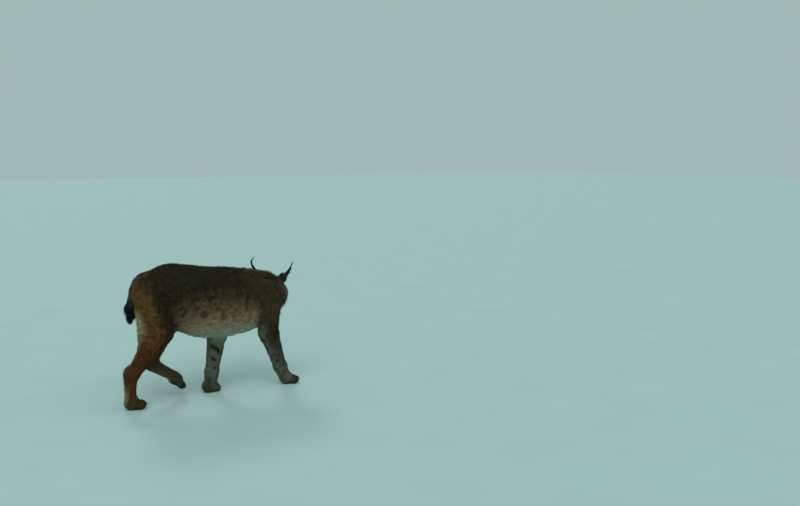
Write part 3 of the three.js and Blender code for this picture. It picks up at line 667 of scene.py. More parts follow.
def values_near_skin(field, lines):
    """Field values on a grid, only in the blocks that the surface may cross."""
    starts = [a[::BLOCK] for a in lines]
    ends = [a[np.minimum(np.arange(0, len(a), BLOCK) + BLOCK, len(a) - 1)] for a in lines]
    mids = [0.5 * (start + end) for start, end in zip(starts, ends)]
    spans = [end - start for start, end in zip(starts, ends)]
    middle = grid_points(*mids)
    rough = field(middle.reshape(-1, 3)).reshape(middle.shape[:3])
    reach = np.linalg.norm(grid_points(*spans), axis=-1) * 0.5
    near = np.abs(rough) < reach * 1.4 + 14
    for axis in range(3):
        rough, near = rough.repeat(BLOCK, axis), near.repeat(BLOCK, axis)
    cut = tuple(slice(0, len(a)) for a in lines)
    values, near = rough[cut].copy(), near[cut]
    points = grid_points(*lines)[near]
    values[near] = np.concatenate([field(part) for part in np.array_split(points, 12)])
    return values


def slope_of(field, p, here):
    """How fast a field rises along each axis, where here is its value at p."""
    return np.stack([field(p + axis) - here for axis in np.eye(3)], 1)


values = values_near_skin(skin_field, (xs, ys, zs))
skin_points, skin_faces = surface_net(values, xs, ys, zs)
for _ in range(2):
    here = skin_field(skin_points)
    slope = slope_of(skin_field, skin_points, here)
    steep = np.maximum((slope * slope).sum(1), 0.25)
    move = -here[:, None] * slope / steep[:, None]
    skin_points += np.clip(move, -LARGEST_STEP, LARGEST_STEP)
skin_points[:, 2] = np.maximum(skin_points[:, 2], 1.0)
print("skin", len(skin_points), "points", len(skin_faces), "faces")

# %% [markdown]
# ## Soft randomness
# Fur is never even, but a random number for each hair would look like static. Value noise gives
# neighbours a shared lean, which clumps them into locks, and cell noise scatters spots. Both come from
# hashed grid corners, so each run is the same.

# %% Noise


def scatter(cells, seed):
    """A repeatable random number from 0 to 1 for each whole-number cell."""
    c = cells.astype(np.int64)
    h = (c[..., 0] * 73856093) ^ (c[..., 1] * 19349663) ^ (c[..., 2] * 83492791) ^ (seed * 2654435761)
    h = (h ^ (h >> 13)) * 1274126177 & 0x7FFFFFFF
    h = (h ^ (h >> 11)) * 668265263 & 0x7FFFFFFF
    return (h & 0xFFFFFF) / float(0xFFFFFF)


def clouds(p, size, seed):
    """Smooth noise from -1 to 1 whose patches are about size millimetres across."""
    q = p / size + 1000
    base = np.floor(q)
    t = q - base
    t = t * t * (3 - 2 * t)
    total = 0
    for corner in CORNERS:
        share = np.prod(np.where(corner, t, 1 - t), axis=1)
        total = total + share * scatter(base + corner, seed)
    return total * 2 - 1


def spots(p, cell, seed, fill=0.7, radius=(0.2, 0.36)):
    """1 inside scattered blots and 0 outside. The cell's three sizes stretch them."""
    q = p / np.array(cell) + 1000
    base = np.floor(q)
    result = np.zeros(len(p))
    for corner in np.stack(np.meshgrid([-1, 0, 1], [-1, 0, 1], [-1, 0, 1]), -1).reshape(-1, 3):
        at = base + corner
        mid = at + 0.2 + 0.6 * np.stack([scatter(at, seed + k) for k in range(3)], 1)
        size = radius[0] + (radius[1] - radius[0]) * scatter(at, seed + 3)
        size = size * (scatter(at, seed + 4) < fill)
        off = np.linalg.norm(q - mid, axis=1)
        result = np.maximum(result, np.clip((size - off) / 0.1 + 0.5, 0, 1) * (size > 0))
    return result


rng = np.random.default_rng(7)
print("noise between", clouds(skin_points[:999], 20, 1).min().round(2),
      "and", clouds(skin_points[:999], 20, 1).max().round(2))

# %% [markdown]
# ## The lie of the coat
# Hair lies away from the nose, back along the trunk and down each leg to the toes. It could be combed
# stroke by stroke. Here each region gives its own direction instead, and the soft weights turn one into
# the next. Legs and tail take theirs from their bones.

# %% Lie along the bones


def unit(v):
    """Vectors with their length made one."""
    return v / np.maximum(np.linalg.norm(v, axis=-1, keepdims=True), 1e-9)


def bone_direction(joints, p, soft=14.0):
    """Direction along the nearest bone, turning softly at each joint."""
    distances, ways = [], []
    for a, b in zip(joints, joints[1:]):
        axis = b - a
        t = np.clip((p - a) @ axis / (axis @ axis), 0, 1)
        distances.append(np.linalg.norm(p - a - t[:, None] * axis, axis=1))
        ways.append(axis / np.linalg.norm(axis))
    distances = np.array(distances)
    shares = np.exp(-(distances - distances.min(0)) / soft)
    shares /= shares.sum(0)
    return np.einsum("bn,bk->nk", shares, np.array(ways))


TAIL_JOINTS = [np.array(at, float) for at, _ in TAIL]
print("the tip of the tail lies along", bone_direction(TAIL_JOINTS, TAIL_JOINTS[-1][None], 8)[0].round(2))

# %% Lie anywhere


def level_lie(p):
    """Along the crest hair lies level, and fans out a little to each side."""
    crest = ramp(p[:, 2], (490, 0), (570, 1))
    fan = np.clip(p[:, 1] / 40, -1, 1) * ramp(p[:, 0], (670, 0.2), (730, 0.8))
    return np.stack([-0.9 + 0 * crest, fan, -0.42 + 0.5 * crest], 1)


def head_lie(q):
    """On the head it lies away from the nose, and droops on the cheeks."""
    from_nose = unit(q - np.array([118.0, 0, 0]))
    cheek = ramp(np.abs(q[:, 1]), (30, 0), (62, 1)) * ramp(q[:, 2], (-10, 1), (30, 0))
    side = np.sign(q[:, 1])
    droop = np.stack([-0.5 + 0 * side, 0.1 * side, -0.75 + 0 * side], 1) * cheek[:, None]
    return unit(from_nose + np.array([-0.5, 0, 0.1]) + 2 * droop) @ HEAD_TURN.T


def leg_lie(leg, p, level):
    """Down the leg, but still back over the hip and the shoulder blade."""
    down_leg = bone_direction([*leg["joints"], paw_point(leg, 44, 0, 12)], p)
    low, high = (480, 610) if leg["kind"] == "fore" else (560, 650)
    top = ramp(p[:, 2], (low, 0), (high, 1))[:, None]
    # in front of the shoulder it runs outward, so that no whorl shows
    front = (ramp(p[:, 0], (670, 0), (730, 0.8)) * ramp(p[:, 2], (440, 0), (500, 1)))[:, None]
    down_leg = down_leg + front * np.array([0, np.sign(leg["joints"][0][1]), 0])
    return down_leg * (1 - top) + level * top


def lie_direction(p, weights):
    """Which way the coat lies at each point."""
    _, _, half = stations(p[:, 0])
    flank = np.clip(np.abs(p[:, 1]) / half, 0, 1)
    chest = ramp(p[:, 0], (680, 0), (740, 1)) * ramp(p[:, 2], (500, 1), (560, 0))
    rump = ramp(p[:, 0], (70, 1), (150, 0))
    back = np.stack([-np.ones(len(p)), 0 * flank, -0.5 * flank**2], 1)
    down = np.array([-0.25, 0, -1])
    turned = np.clip(chest + rump, 0, 1)[:, None]
    total = weights[TRUNK_ROW][:, None] * (back * (1 - turned) + down * turned)
    level = level_lie(p)
    total += weights[NECK_ROW][:, None] * level
    # behind the ears it bends round to run down the neck
    q = to_head(p)
    nape = (ramp(q[:, 0], (-45, 0.9), (12, 0)) * ramp(q[:, 2], (-30, 0), (10, 1)))[:, None]
    total += weights[HEAD_ROW][:, None] * (head_lie(q) * (1 - nape) + level * nape)
    total += weights[TAIL_ROW][:, None] * bone_direction(TAIL_JOINTS, p, 8)
    for row, leg in enumerate(LEGS.values(), FIRST_LEG):
        total += weights[row][:, None] * leg_lie(leg, p, level)
    return unit(total)


highest = skin_points[skin_points[:, 2].argmax()][None]
print("on the highest point hair lies", lie_direction(highest, under_coat(highest)[1])[0].round(2))

# %% [markdown]
# ## A walk along the coat
# A hair bends with the body under it, where a straight one would cut into it. So from each point of the
# skin two strides are walked along the lie, and every tuft later follows a curve through such places.

# %% Walk along the coat
STRIDE = 17.0
LONGEST_SETTLE = 8


def laid(directions, normals):
    """Presses directions down onto the surface."""
    return unit(directions - (directions * normals).sum(1)[:, None] * normals)


def settle(p):
    """Moves points onto the skin, and gives its normals and the regions' weights there."""
    value, weights = under_coat(p)
    slope = slope_of(lambda at: under_coat(at)[0], p, value)
    steep = np.maximum((slope * slope).sum(1), 0.3)
    move = np.clip(value / steep, -LONGEST_SETTLE, LONGEST_SETTLE)
    return p - move[:, None] * slope, unit(slope), weights


_, walk_normals, skin_weights = settle(skin_points)
path_points, path_normals = [skin_points], [walk_normals]
way = laid(lie_direction(skin_points, skin_weights), walk_normals)
for _ in range(2):
    stepped, walk_normals, walk_weights = settle(path_points[-1] + STRIDE * way)
    path_points.append(stepped)
    path_normals.append(walk_normals)
    way = laid(lie_direction(stepped, walk_weights), walk_normals)
print("walked", len(path_points) - 1, "strides of", STRIDE, "mm along the coat")

# %% [markdown]
# ## Markings
# The coat is dark along the back, spotted on the flank and pale below. It could be painted on a
# texture, but skin and tufts would each need their own. One function gives the colour at any point
# instead, so both agree. Colours are given as seen, and turned into the linear values of a shader.

# %% Palette


def tone(red, green, blue, gain=1.0):
    """A colour as seen, in 0 to 255, as linear light."""
    c = np.array([red, green, blue]) / 255
    return np.where(c <= 0.04045, c / 12.92, ((c + 0.055) / 1.055) ** 2.4) * gain


def shades(x, *stops):
    """Colour along x through (x, colour) stops."""
    xs, colours = zip(*stops)
    return np.stack([np.interp(x, xs, [c[k] for c in colours]) for k in range(3)], 1)


def mixed(a, b, t):
    """Colour a where t is 0, and b where it is 1."""
    return a + (b - a) * np.clip(t, 0, 1)[:, None]


BLACK = tone(13, 13, 14)
SPOT = tone(30, 24, 18)
WHITE = tone(214, 210, 196)
BACK = tone(50, 45, 31)
UPPER = tone(50, 43, 24)
MIDDLE = tone(90, 74, 45)
LOWER = tone(128, 110, 80)
LOW = tone(162, 142, 116)
BELLY = tone(176, 184, 162)
RUST = tone(104, 63, 30)
RUST_DARK = tone(54, 36, 16)
CREAM = tone(178, 168, 132)
GREY = tone(116, 116, 98)
print("palette spans", BLACK.min().round(4), "to", WHITE.max().round(2))

# %% Colour of trunk and neck


def plain(colour, p):
    return np.tile(colour, (len(p), 1))


def trunk_colour(p):
    """Bands from belly to back, with broken streaks of dark on the flank."""
    h = trunk_height(p) + 0.05 * clouds(p, 60, 11)
    h = h + ramp(p[:, 0], (180, 0.32), (240, 0.18), (310, 0.02), (360, 0), (600, 0), (680, 0.12))
    base = shades(h, (0.02, BELLY), (0.1, BELLY), (0.2, LOW), (0.37, LOWER), (0.56, MIDDLE),
                  (0.72, UPPER), (0.86, UPPER), (1.0, BACK))
    streaks = np.maximum(spots(p, (26, 60, 66), 21, 0.9, (0.24, 0.4)),
                         spots(p, (20, 50, 40), 25, 0.7, (0.2, 0.36)))
    band = ramp(h, (0.22, 0), (0.32, 0.7), (0.45, 0.95), (0.7, 0.95), (0.8, 0.5), (0.95, 0.3))
    rump = ramp(p[:, 0], (50, 1), (120, 0)) * ramp(p[:, 2], (470, 1), (560, 0.3))
    base = mixed(base, tone(92, 72, 44), rump * 0.6)
    fine = spots(p, (15, 40, 32), 27, 0.85, (0.22, 0.38))
    fine = fine * ramp(h, (0.26, 0), (0.36, 0.6), (0.66, 0.6), (0.8, 0))
    return mixed(base, SPOT, np.maximum(streaks * band * 0.9, fine))


def neck_colour(p):
    """Plain brown, darker above and pale at the throat."""
    low = ramp(p[:, 2], (395, 1), (455, 0))
    dark = ramp(p[:, 2], (540, 0), (590, 0.35)) + 0.3 * clouds(p, 26, 12)
    return mixed(mixed(plain(tone(78, 68, 43), p), BACK, dark), BELLY, low * 0.9)


flank = np.array([[400.0, -105, 460]])
print("middle of the flank", trunk_colour(flank)[0].round(3))

# %% [markdown]
# ## Markings of the legs
# The hind leg is rusty outside, cream at the heel and grey inside. The foreleg is grey, with spots
# outside and broad dark bars inside, and painted shade darkens its toes and the rear of its paw. Marks
# that are traced point by point look stamped. Tones that change along and round the leg, with
# scattered spots, look grown.

# %% Colour of the hind legs


def hind_colour(leg, p):
    """Rusty outside, tan behind the thigh, cream at the heel, grey inside."""
    s, front, outer = leg_place(leg, p)
    inner = ramp(outer, (-0.75, 1), (-0.25, 0))
    base = shades(s, (0, tone(58, 48, 28)), (0.12, tone(64, 50, 28)), (0.3, tone(92, 62, 30)),
                  (0.42, tone(120, 68, 34)), (0.6, RUST * 0.9), (0.8, RUST), (0.92, tone(96, 70, 34)),
                  (1, tone(84, 70, 34)))
    # the thigh is tan behind and dark in front
    tan = ramp(s, (0.36, 0.95), (0.48, 0)) * ramp(front, (-0.5, 1), (0.2, 0))
    tan = tan * ramp(p[:, 2], (520, 1), (600, 0.25))
    base = mixed(base, tone(124, 88, 44), tan * (0.8 + 0.25 * clouds(p, 30, 34)))
    base = mixed(base, RUST_DARK, ramp(front, (0.0, 0), (0.6, 0.9)) * ramp(s, (0.3, 1), (0.5, 0.25)))
    # the rear edge and the heel are cream
    rear = ramp(front, (-0.98, 1), (-0.8, 0)) * ramp(s, (0.1, 0), (0.18, 1), (0.42, 0.9), (0.55, 0.2))
    rear *= ramp(outer, (0.05, 1), (0.36, 0))
    heel = ramp(front - 0.6 * inner, (-0.97, 1), (-0.6, 0)) * ramp(s + 0.08 * inner, (0.76, 0), (0.87, 0.95))
    base = mixed(base, CREAM, rear + heel * (1 - 0.7 * inner))
    # the inside is grey, and greener towards the toes
    base = mixed(base, GREY * 1.1, inner * ramp(s, (0.2, 0.9), (0.5, 0.7), (0.62, 0.1)))
    base = mixed(base, tone(78, 74, 50), inner * ramp(s, (0.55, 0), (0.68, 0.6)))
    base = mixed(base, tone(72, 82, 66), inner * ramp(s, (0.86, 0), (0.95, 0.8)))
    toes = ramp(s, (0.88, 0), (0.94, 0.8)) * ramp(clouds(p, 13, 33), (-0.2, 0), (0.2, 1))
    base = mixed(base, tone(44, 44, 36), toes)
    marks = spots(p, (26, 60, 40), 31, 0.85, (0.26, 0.42))
    marks = marks * ramp(s, (0.06, 0.6), (0.16, 0.85), (0.45, 0.6), (0.6, 0.1))
    marks *= ramp(front, (-0.9, 0.15), (-0.6, 1))
    bars = spots(p, (40, 40, 22), 32, 0.8) * (ramp(front, (0.3, 0), (0.6, 0.8)) + inner)
    bars = bars * ramp(s, (0.2, 0.4), (0.4, 0.9), (0.7, 0.4), (0.85, 0.1))
    return mixed(mixed(base, tone(38, 25, 14), marks), SPOT, bars)


print("right hock", hind_colour(LEGS["right_hind"], hock[None])[0].round(3))

# %% Colour of the forelegs
# height, slope, half thickness, start and end from the rear (-1) to the front (1), and strength
# the last row is no bar but painted shade, low at the rear of the paw
INNER_BARS_AND_SHADE = [(212, -20, 8, -1.0, 0.5, 0.95), (158, -22, 9, -0.65, 0.1, 0.95),
              (120, 10, 6, -0.1, 0.35, 0.9), (40, 0, 30, -1.3, -0.28, 0.5)]
# the dark of the bars and spots, and of the painted shade at the rear of the forepaw
BAR_AND_SHADE = tone(28, 28, 18)


def inner_bars_and_shade(front, p):
    """Broad slanted bars with soft, wavy edges, and painted shade low at the rear of the paw."""
    wave = 7 * clouds(p, 24, 43)
    bars = np.zeros(len(p))
    for height, slope, thick, start, end, strength in INNER_BARS_AND_SHADE:
        off = np.abs(p[:, 2] - height - slope * front + wave) / thick
        reach = ramp(front, (start - 0.15, 0), (start + 0.1, 1), (end - 0.1, 1), (end + 0.15, 0))
        bars = np.maximum(bars, ramp(off, (0.8, strength), (1.25, 0)) * reach)
    return bars


def fore_colour(leg, p):
    """Brown above and grey below, spotted outside and barred inside, with painted shade at the toes and low
    at the rear of the paw.
    """
    s, front, outer = leg_place(leg, p)
    # the last stops darken the toes: painted shade where the paw meets the floor
    brown = shades(s, (0, tone(66, 57, 36)), (0.14, tone(80, 67, 42)), (0.34, tone(62, 52, 28)),
                   (0.5, tone(78, 72, 54)), (0.66, tone(100, 100, 84)), (0.86, tone(122, 122, 100)),
                   (0.885, tone(124, 126, 100)), (0.935, tone(78, 84, 64)), (0.98, tone(40, 46, 36)))
    pale_rear = ramp(front, (-0.85, 1), (-0.35, 0))
    pale_rear = pale_rear * ramp(s, (0.25, 0), (0.36, 0.8), (0.8, 0.6), (0.92, 0))
    brown = mixed(brown, tone(126, 126, 104), pale_rear)
    inner = ramp(outer, (-0.7, 1), (-0.15, 0))
    # here too the last stops are painted shade at the toes
    grey = shades(s, (0.3, tone(214, 222, 198)), (0.42, tone(176, 184, 160)), (0.5, tone(140, 146, 126)),
                  (0.6, tone(118, 124, 106)), (0.85, tone(114, 120, 102)), (0.94, tone(88, 92, 74)),
                  (1, tone(46, 50, 38)))
    base = mixed(brown, grey, inner * ramp(s, (0.15, 0.8), (0.3, 1)))
    shin = ramp(front, (0.45, 0), (0.9, 0.6)) * ramp(s, (0.4, 0), (0.55, 1))
    base = mixed(base, tone(56, 54, 42), shin)
    marks = spots(p, (26, 28, 20), 41, 0.95, (0.28, 0.44))
    marks = marks * ramp(s, (0.2, 0.4), (0.35, 1), (0.8, 0.9), (0.88, 0.1))
    return mixed(base, BAR_AND_SHADE, np.maximum(marks * (1 - inner), inner_bars_and_shade(front, p) * inner))


wrist = LEGS["right_fore"]["joints"][2]
print("right wrist", fore_colour(LEGS["right_fore"], wrist[None])[0].round(3))

# %% [markdown]
# ## Markings of the head
# The forehead is striped, the muzzle white with rows of whisker spots, and dark lines run from the
# white-ringed eyes to the ruff. A painted face would be sharper, but formulas in the head's own frame
# give both sides at once, because there left and right differ by a sign.

# %% Colour of the eyes' surrounds


def segment_distance(q, a, b):
    """How far each point is from a straight line's piece."""
    t = np.clip((q - a) @ (b - a) / ((b - a) @ (b - a)), 0, 1)
    return np.linalg.norm(q - a - t[:, None] * (b - a), axis=1)


def dark_line(base, q, start, step, colour, thin, thick, strength):
    """Paints a soft line from start by step, full within thin and gone beyond thick."""
    off = segment_distance(q, start, start + step)
    return mixed(base, colour, ramp(off, (thin, strength), (thick, 0)))


def eye_colour(base, q, side):
    """White round the eye, black at the lids, and dark lines to the ruff and the nose."""
    x, y, _ = q.T
    eye, turned = EYE_AT[side], gaze_turn(side)
    opening, _ = almond(q, side)
    near = (np.linalg.norm(q - eye, axis=1) < 40) & (side * y > 8)
    pale = ramp(opening, (0.3, 0), (0.55, 1), (1.2, 1), (1.8, 0)) * ramp(x, (26, 0), (36, 1))
    base = mixed(base, WHITE, pale * near * 0.95)
    base = mixed(base, BLACK, ramp(opening, (0.3, 1), (0.6, 0)) * near * ramp(x, (30, 0), (38, 1)))
    corner = eye + turned @ np.array([4, side * 15.0, -1])
    base = dark_line(base, q, corner, np.array([-42.0, side * 22, -12]), SPOT, 4.4, 7.4, 0.95)
    cheek = np.array([44.0, side * 34, -22])
    base = dark_line(base, q, cheek, np.array([-52.0, side * 22, -20]), SPOT, 3.8, 6.8, 0.9)
    tear = eye + turned @ np.array([9, -side * 13.0, -1])
    return dark_line(base, q, tear, np.array([13.0, -side * 3, -7]), BLACK, 1.2, 2.8, 0.9)


lids = EYE_AT[1][None]
print("at the lids", eye_colour(plain(GREY, lids), lids, 1)[0].round(3))

# %% Colour of the head


def head_colour(p):
    """Brown crown, pale cheeks and white muzzle, with stripes and spots."""
    q = to_head(p)
    x, y, z = q.T
    across = np.abs(y)
    base = mixed(plain(tone(112, 98, 72), p), tone(78, 68, 44), ramp(x, (-58, 1), (-16, 0.15)) * 0.8)
    base = mixed(base, BACK, ramp(z, (30, 0), (52, 0.3)) * ramp(x, (-30, 1), (0, 0)))
    # pale cheeks, and a warm bridge of the nose
    cheek = ramp(across, (28, 0), (46, 0.85)) * ramp(z, (-4, 1), (16, 0))
    cheek = cheek * ramp(x, (-45, 0), (-14, 0.55), (26, 0.7), (44, 1))
    base = mixed(base, tone(150, 142, 124), cheek)
    bridge = ramp(across, (8, 1), (17, 0)) * ramp(x, (40, 0), (58, 1)) * ramp(z, (-16, 0), (-8, 1))
    base = mixed(base, tone(122, 98, 70), bridge * 0.6)
    # dark stripes run back over the forehead
    stripes = np.clip(np.cos(across * 2 * math.pi / 12.5 + clouds(q, 16, 51)) * 4 - 0.6, 0, 1)
    stripes *= ramp(z, (12, 0), (26, 0.95)) * ramp(x, (-40, 0.3), (-20, 1), (42, 1), (56, 0))
    base = mixed(base, SPOT, stripes * (clouds(q, 11, 53) > -0.35))
    # white muzzle with rows of whisker spots, white chin and throat
    muzzle = ramp(x, (46, 0), (58, 1)) * ramp(z, (-9, 1), (-2, 0))
    base = mixed(base, WHITE, muzzle)
    rows = np.clip(np.cos((z + 0.12 * x) * 2 * math.pi / 6.2 - 0.6) * 4 - 1.9, 0, 1)
    rows = rows * ramp(clouds(q, 4, 54), (-0.35, 0), (0, 1)) * ramp(across, (11, 0), (14, 0.9))
    rows = rows * ramp(x, (56, 0), (60, 1), (82, 1), (88, 0))
    base = mixed(base, SPOT, rows * ramp(z, (-33, 0), (-31, 1), (-13, 1), (-11, 0)))
    throat = ramp(z, (-52, 1), (-36, 0)) * ramp(across, (34, 1), (52, 0))
    base = mixed(base, WHITE, throat)
    for side in (-1, 1):
        base = eye_colour(base, q, side)
    # the sides of the head are darker, and barred like the ruff that grows there
    shaded = ramp(across, (48, 0), (62, 0.65)) * ramp(x, (10, 1), (34, 0)) * ramp(z, (-50, 0.4), (-30, 1))
    base = mixed(base, tone(88, 84, 66), shaded)
    sides = ramp(across, (56, 0), (66, 1)) * ramp(z, (-10, 1), (20, 0))
    dark = np.sin((z + 0.4 * x) * 2 * math.pi / 40 + clouds(q, 30, 52)) > 0.35
    return mixed(base, SPOT, sides * dark * 0.75)


print("bridge of the nose", head_colour(from_head([[80.0, 0, 0]]))[0].round(3))

# %% Colour anywhere


def tail_colour(p):
    """Brown above, and black for the last length."""
    base = mixed(plain(tone(86, 70, 50), p), UPPER, 0.5 + 0.5 * clouds(p, 20, 61))
    return mixed(base, BLACK, ramp(p[:, 2], (508, 1), (522, 0)))


def coat_colour(p, weights):
    """The colours of all regions, mixed by their sharpened weights."""
    sharp = weights**2
    sharp = sharp / sharp.sum(0)
    makers = [trunk_colour, neck_colour, head_colour, tail_colour]
    for leg in LEGS.values():
        maker = hind_colour if leg["kind"] == "hind" else fore_colour
        makers.append(lambda p, leg=leg, maker=maker: maker(leg, p))
    total = np.zeros((len(p), 3))
    for share, maker in zip(sharp, makers):
        own = share > 0.01
        if own.any():
            total[own] += share[own, None] * maker(p[own])
    return np.clip(total, 0.001, 1)


skin_colours = coat_colour(skin_points, skin_weights)
print("mean colour of the skin", skin_colours.mean(0).round(3))

# %% [markdown]
# ## A flat map of the skin
# Each piece carries a flat map, for its colours to be laid out on. An automatic unwrap would cut the
# skin into hundreds of scraps. So trunk and legs are rolled out like labels from a bottle, and the head
# is a disc seen from the nose.

# %% Unwrap
CHARTS = {
    "trunk": (0.01, 0.01, 0.55, 0.53), "tail": (0.81, 0.45, 0.99, 0.62),
    "right_hind": (0.01, 0.55, 0.19, 0.99), "left_hind": (0.21, 0.55, 0.39, 0.99),
    "right_fore": (0.41, 0.55, 0.59, 0.99), "left_fore": (0.61, 0.55, 0.79, 0.99),
}
HEAD_CHART = (0.78, 0.22, 0.2)
TRUNK_START, TRUNK_LONG = -70, 880
TAIL_START, TAIL_LONG = 610, 190


def rolled(p, region):
    """Place along a region from 0 to 1, and the angle round it."""
    name = REGIONS[region]
    if name in ("trunk", "neck"):
        top, bottom, _ = stations(p[:, 0])
        angle = np.arctan2(p[:, 1], p[:, 2] - (top + bottom) / 2)
        return (p[:, 0] - TRUNK_START) / TRUNK_LONG, angle
    if name == "tail":
        z = p[:, 2]
        angle = np.arctan2(p[:, 1], p[:, 0] - ramp(z, (442, 14), (504, 24), (582, 56)))
        return (TAIL_START - z) / TAIL_LONG, angle
    s, front, outer = leg_place(LEGS[name], p)
    return s, np.arctan2(outer, front)


def flat_map(p, region, around=None):
    """Places on the flat map. Corners of a face pass the face's own angle, so none crosses a seam."""
    if REGIONS[region] == "head":
        way = unit(to_head(p) + np.array([12.0, 0, 8]))
        reach = np.arccos(np.clip(way[:, 0], -1, 1)) / math.pi
        turned = np.arctan2(way[:, 1], way[:, 2])
        u, v, size = HEAD_CHART
        return np.stack([u + size * reach * np.sin(turned), v + size * reach * np.cos(turned)], 1)
    s, angle = rolled(p, region)
    if around is not None:
        angle = around + (angle - around + math.pi) % (2 * math.pi) - math.pi
    u0, v0, u1, v1 = CHARTS.get(REGIONS[region], CHARTS["trunk"])
    u = u0 + (u1 - u0) * (0.04 + 0.92 * (angle / (2 * math.pi) + 0.5))
    return np.stack([u, v0 + (v1 - v0) * np.clip(s, 0, 1)], 1)


face_mids = skin_points[skin_faces].mean(1)
face_regions = skin_weights[:, skin_faces].mean(2).argmax(0)
skin_uv = np.zeros((len(skin_faces), 4, 2))
for region in range(len(REGIONS)):
    own = face_regions == region
    corners = skin_points[skin_faces[own]].reshape(-1, 3)
    around = None if region == HEAD_ROW else np.repeat(rolled(face_mids[own], region)[1], 4)
    skin_uv[own] = flat_map(corners, region, around).reshape(-1, 4, 2)
print("flat map spans", skin_uv.min((0, 1)).round(2), skin_uv.max((0, 1)).round(2))

# %% [markdown]
# ## Making a piece
# A coat has over a million small faces. Adding them one by one would take minutes, so every mesh is
# filled from whole arrays. Each piece gets its colours, its flat map and its body.

# %% Piece maker


def make_piece(name, points, faces, material, colours=None, uv=None, strand=None):
    """A mesh in the scene, from places in millimetres and faces of one kind."""
    faces = np.asarray(faces)
    sides = faces.shape[1]
    mesh = bpy.data.meshes.new(name)
    mesh.vertices.add(len(points))
    mesh.vertices.foreach_set("co", to_frame(points).astype(np.float32).ravel())
    mesh.loops.add(faces.size)
    mesh.loops.foreach_set("vertex_index", faces.astype(np.int32).ravel())
    mesh.polygons.add(len(faces))
    mesh.polygons.foreach_set("loop_start", np.arange(0, faces.size, sides, dtype=np.int32))
    mesh.polygons.foreach_set("use_smooth", np.ones(len(faces), bool))
    if colours is not None:
        layer = mesh.color_attributes.new("coat", "FLOAT_COLOR", "POINT")
        rgba = np.ones((len(points), 4), np.float32)
        rgba[:, :3] = colours
        layer.data.foreach_set("color", rgba.ravel())
    if uv is not None:
        layer = mesh.uv_layers.new(name="OFBake")
        layer.data.foreach_set("uv", np.asarray(uv, np.float32).ravel())
    if strand is not None:
        layer = mesh.attributes.new("strand", "FLOAT_VECTOR", "POINT")
        layer.data.foreach_set("vector", np.asarray(strand, np.float32).ravel())
    mesh.update(calc_edges=True)
    mesh.validate()
    mesh.materials.append(material)
    piece = bpy.data.objects.new(name, mesh)
    bpy.context.scene.collection.objects.link(piece)
    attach(piece, "root")
    print(name, len(points), "points", len(faces) * (sides - 2), "triangles")
    return piece


print("meshes that came with the frame", len(bpy.data.meshes))

# %% [markdown]
# ## Shader nodes
# Fur, bare skin, horn and glass are never quite even in colour. Each could have its own image, but
# noise in the shader has no edge. A few short helpers make the nodes that all of them use.

# %% Material helpers
GRAIN_HEIGHT = 0.0006


def node_material(name, roughness, build, sheen=0.0, coat=0.0, specular=0.5):
    """A material whose nodes are made by build."""
    material = bpy.data.materials.new(name)
    material.use_nodes = True
    nodes, links = material.node_tree.nodes, material.node_tree.links
    shader = nodes["Principled BSDF"]
    shader.inputs["Roughness"].default_value = roughness
    shader.inputs["Sheen Weight"].default_value = sheen
    shader.inputs["Sheen Roughness"].default_value = 0.4
    shader.inputs["Coat Weight"].default_value = coat
    shader.inputs["Coat Roughness"].default_value = 0.05
    shader.inputs["Specular IOR Level"].default_value = specular
    build(nodes, links, shader)
    return material


def attribute_node(nodes, name):
    node = nodes.new("ShaderNodeAttribute")
    node.attribute_name = name
    return node.outputs


def noise_node(nodes, links, scale, detail=3.0, along=None):
    """Noise in the object's own space, or along an attribute such as the strands."""
    texture = nodes.new("ShaderNodeTexNoise")
    texture.inputs["Scale"].default_value = scale
    texture.inputs["Detail"].default_value = detail
    if along:
        source = attribute_node(nodes, along)["Vector"]
    else:
        source = nodes.new("ShaderNodeTexCoord").outputs["Object"]
    links.new(source, texture.inputs["Vector"])
    return texture.outputs["Fac"]


def ranged(nodes, links, value, low, high):
    """The middle of a noise, stretched from low to high."""
    node = nodes.new("ShaderNodeMapRange")
    node.inputs["From Min"].default_value = 0.3
    node.inputs["From Max"].default_value = 0.7
    node.inputs["To Min"].default_value = low
    node.inputs["To Max"].default_value = high
    links.new(value, node.inputs["Value"])
    return node.outputs["Result"]


def bumped(nodes, links, shader, value, strength):
    """Raises the surface a little by a noise."""
    bump = nodes.new("ShaderNodeBump")
    bump.inputs["Strength"].default_value = strength
    bump.inputs["Distance"].default_value = GRAIN_HEIGHT
    links.new(value, bump.inputs["Height"])
    links.new(bump.outputs["Normal"], shader.inputs["Normal"])


def painted(nodes, links, shader, noise, low, high):
    """The piece's own colours, made darker and lighter by a noise."""
    scaled = nodes.new("ShaderNodeVectorMath")
    scaled.operation = "SCALE"
    links.new(attribute_node(nodes, "coat")["Color"], scaled.inputs[0])
    links.new(ranged(nodes, links, noise, low, high), scaled.inputs["Scale"])
    links.new(scaled.outputs["Vector"], shader.inputs["Base Color"])


def two_tone(low, high, scale, detail=3.0, bump=None):
    """Nodes for two colours mixed by noise. With a bump, the grain is crisp and raised."""
    def build(nodes, links, shader):
        grain = noise_node(nodes, links, scale, detail)
        colours = nodes.new("ShaderNodeMix")
        colours.data_type = "RGBA"
        colours.inputs["A"].default_value = (*low, 1)
        colours.inputs["B"].default_value = (*high, 1)
        factor = ranged(nodes, links, grain, 0, 1) if bump else grain
        links.new(factor, colours.inputs["Factor"])
        links.new(colours.outputs["Result"], shader.inputs["Base Color"])
        if bump:
            bumped(nodes, links, shader, grain, bump)
    return build


print("grain of every surface", GRAIN_HEIGHT * 1000, "mm high")

# %% [markdown]
# ## Fur as a material
# Guard hair is dull, and shines a little at grazing angles. One even colour would make each tuft a
# leaf, so noise runs along the blades in strands, with a bump of the same noise for single hairs.

# %% Fur materials


